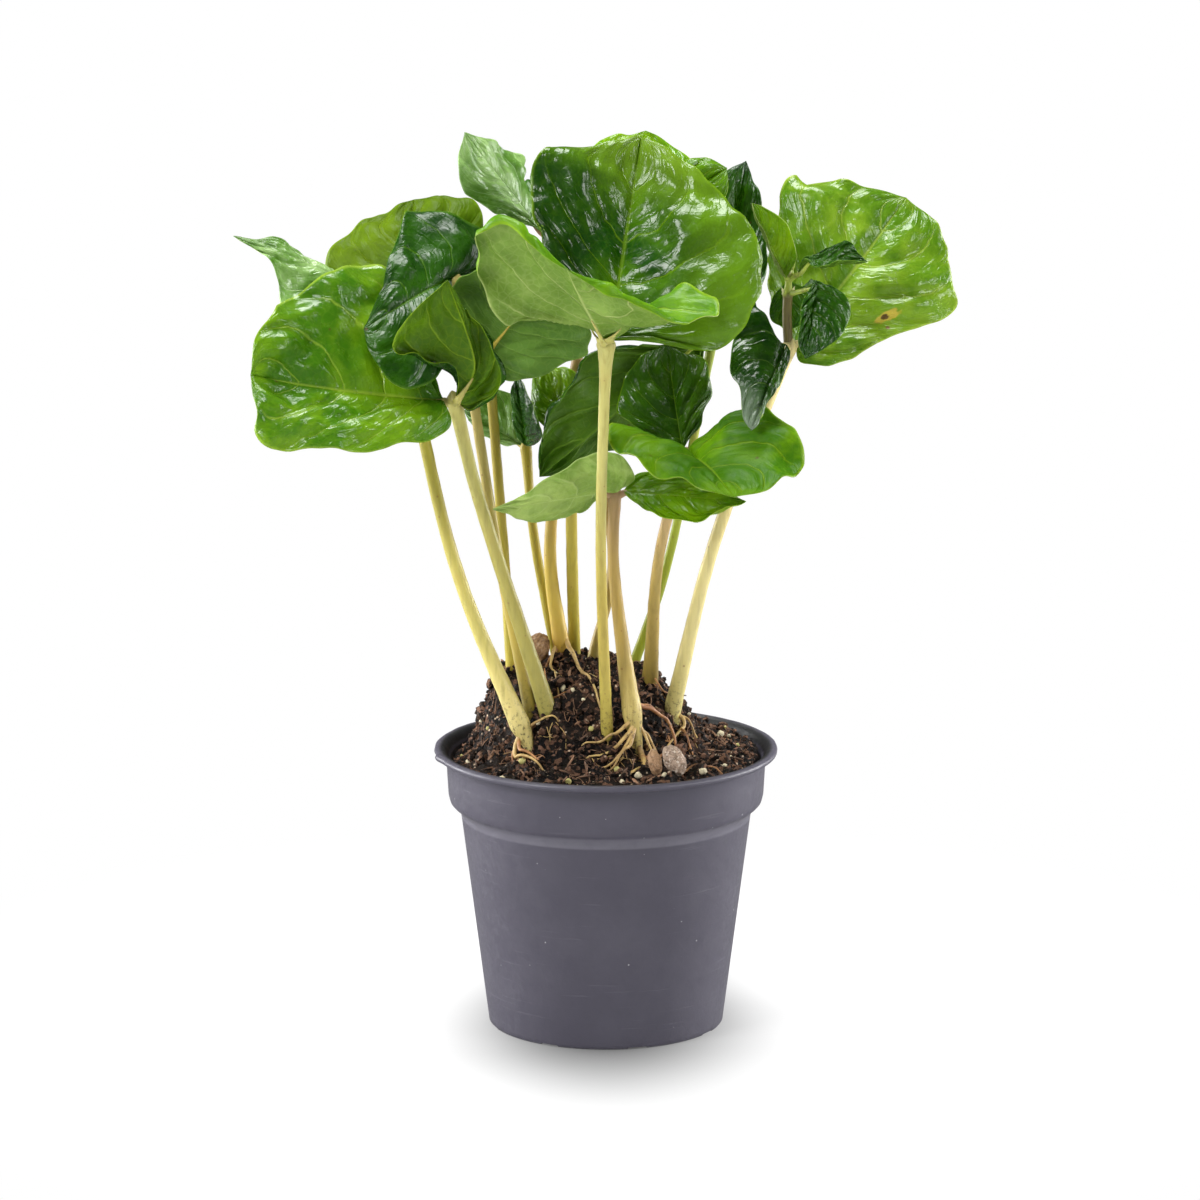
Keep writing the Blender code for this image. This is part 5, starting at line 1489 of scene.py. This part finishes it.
def makeRoots():
    finishes = {tone: rootMaterial(tone + "Root", rootLook[tone]) for tone in ("tan", "rusty")}
    for number, (node, (thick, tone, run)) in enumerate(roots.items()):
        shapes = [rootShape(thick, run, number * 2.3)] + sideRoots(thick, run, number * 2.3)
        words = node.split("_")
        name = words[0] + words[1] + "".join(word.title() for word in words[2:])
        addPiece(name, *joinShapes(shapes), [finishes[tone]], "root", replaces=(node,))
    for tone in finishes:
        shapes = []
        for number, (thick, kind, run) in enumerate(rootlets):
            if kind == tone:
                shapes += [rootShape(thick, run, 40 + number)] + sideRoots(thick, run, 40 + number)
        addPiece(tone + "Rootlets", *joinShapes(shapes), [finishes[tone]], "root")


makeRoots()
print("roots made")


huskLook = dict(
    skin=0.28, rows=34, sides=44, depth=0.38, fibreScale=420.0, pitScale=750.0, bloomScale=900.0,
    bloomShare=dict(pale=0.7, brown=0.15),
    pale=((0.36, 0.26, 0.19), (0.13, 0.085, 0.055)), brown=((0.34, 0.2, 0.1), (0.15, 0.08, 0.04)),
    bloom=(0.6, 0.52, 0.44),
)
# place, length, width, turns about X, Y and Z, how far the middle stands above the soil, and tone
husks = dict(
    husk_pale=((23.6, -40.5), 11.5, 7.5, (40, 54, -35), 5.0, "pale"),
    husk_brown=((16.9, -41.5), 9.5, 5.0, (45, 68, -56), 4.2, "brown"),
    behind=((-24.5, 14), 13.0, 9.5, (60, -60, 10), 4.5, "brown"),
)


def huskMaterial(tone):
    material, tree, shader = newMaterial(tone + "Husk")
    light, dark = huskLook[tone]
    place = objectPlace(tree)
    fibre = noiseOf(tree, place, huskLook["fibreScale"], 4.0, 0.7, 1.2)
    pits = cellsOf(tree, place, huskLook["pitScale"])["Distance"]
    colour = mixColour(tree, ramp(tree, fibre, 0.38, 0.66), light, dark)
    colour = mixColour(tree, ramp(tree, pits, 0.1, 0.3, 0.5, 0.0), colour, dark)
    bloom = noiseOf(tree, place, huskLook["bloomScale"], 2.0)
    bloom = ramp(tree, bloom, 0.56, 0.66, 0.0, huskLook["bloomShare"][tone])
    colour = mixColour(tree, bloom, colour, huskLook["bloom"])
    normal = bumpOf(tree, total(tree, fibre, pits), 0.8, 0.4)
    surface(tree, shader, colour, ramp(tree, fibre, 0.3, 0.7, 0.6, 0.9), normal)
    return material


def huskShape(place, length, width, turns, lift, seed):
    # half an egg of thin papery skin with a torn rim and a fold along its back
    rows, sides, skin = huskLook["rows"], huskLook["sides"], huskLook["skin"]
    depth = huskLook["depth"] * width
    verts, faces = [(0, 0, depth), (0, 0, depth - skin)], []
    for i in range(1, rows + 1):
        fall = math.pi / 2 * i / rows
        for turn in turnsRound(sides):
            way = np.array((math.cos(turn) * math.sin(fall), math.sin(turn) * math.sin(fall),
                            math.cos(fall)))
            torn = 1 - 0.16 * max(0.0, wobble(way * 6, 1.6, seed)) * (i / rows) ** 3
            swell = torn * (1 + 0.1 * wobble(way * 6, 2.5, seed + 3) + 0.04 * wobble(way * 6, 0.8, seed))
            swell -= 0.08 * math.exp(-(way[1] / 0.12) ** 2) * way[2]
            point = way * (length / 2, width / 2, depth) * swell
            verts.append(point)
            verts.append(point * (1 - 2 * skin / width))
    for k in range(sides):
        n = (k + 1) % sides
        faces += [(0, 2 + 2 * k, 2 + 2 * n), (1, 3 + 2 * n, 3 + 2 * k)]
        for i in range(rows - 1):
            near, far = 2 + 2 * i * sides, 2 + 2 * (i + 1) * sides
            faces.append((near + 2 * k, far + 2 * k, far + 2 * n, near + 2 * n))
            faces.append((near + 2 * n + 1, far + 2 * n + 1, far + 2 * k + 1, near + 2 * k + 1))
        last = 2 + 2 * (rows - 1) * sides
        faces.append((last + 2 * k, last + 2 * k + 1, last + 2 * n + 1, last + 2 * n))
    stand = Euler([math.radians(turn) for turn in turns]).to_matrix()
    x, y = place
    ground = max(soilHeight(x + dx, y + dy) for dx in (-4, 0, 4) for dy in (-4, 0, 4))
    return np.array(verts) @ np.array(stand).T + (x, y, ground + lift), faces


def makeHusks():
    finishes = {tone: huskMaterial(tone) for tone in ("pale", "brown")}
    for number, (node, (place, length, width, turns, lift, tone)) in enumerate(husks.items()):
        shape = huskShape(place, length, width, turns, lift, 5.0 + number)
        known = node.startswith("husk")
        name = "husk" + (node[5:] if known else node).title()
        addPiece(name, *shape, [finishes[tone]], "husk_" + tone, replaces=(node,) if known else ())


makeHusks()
print("husks made")
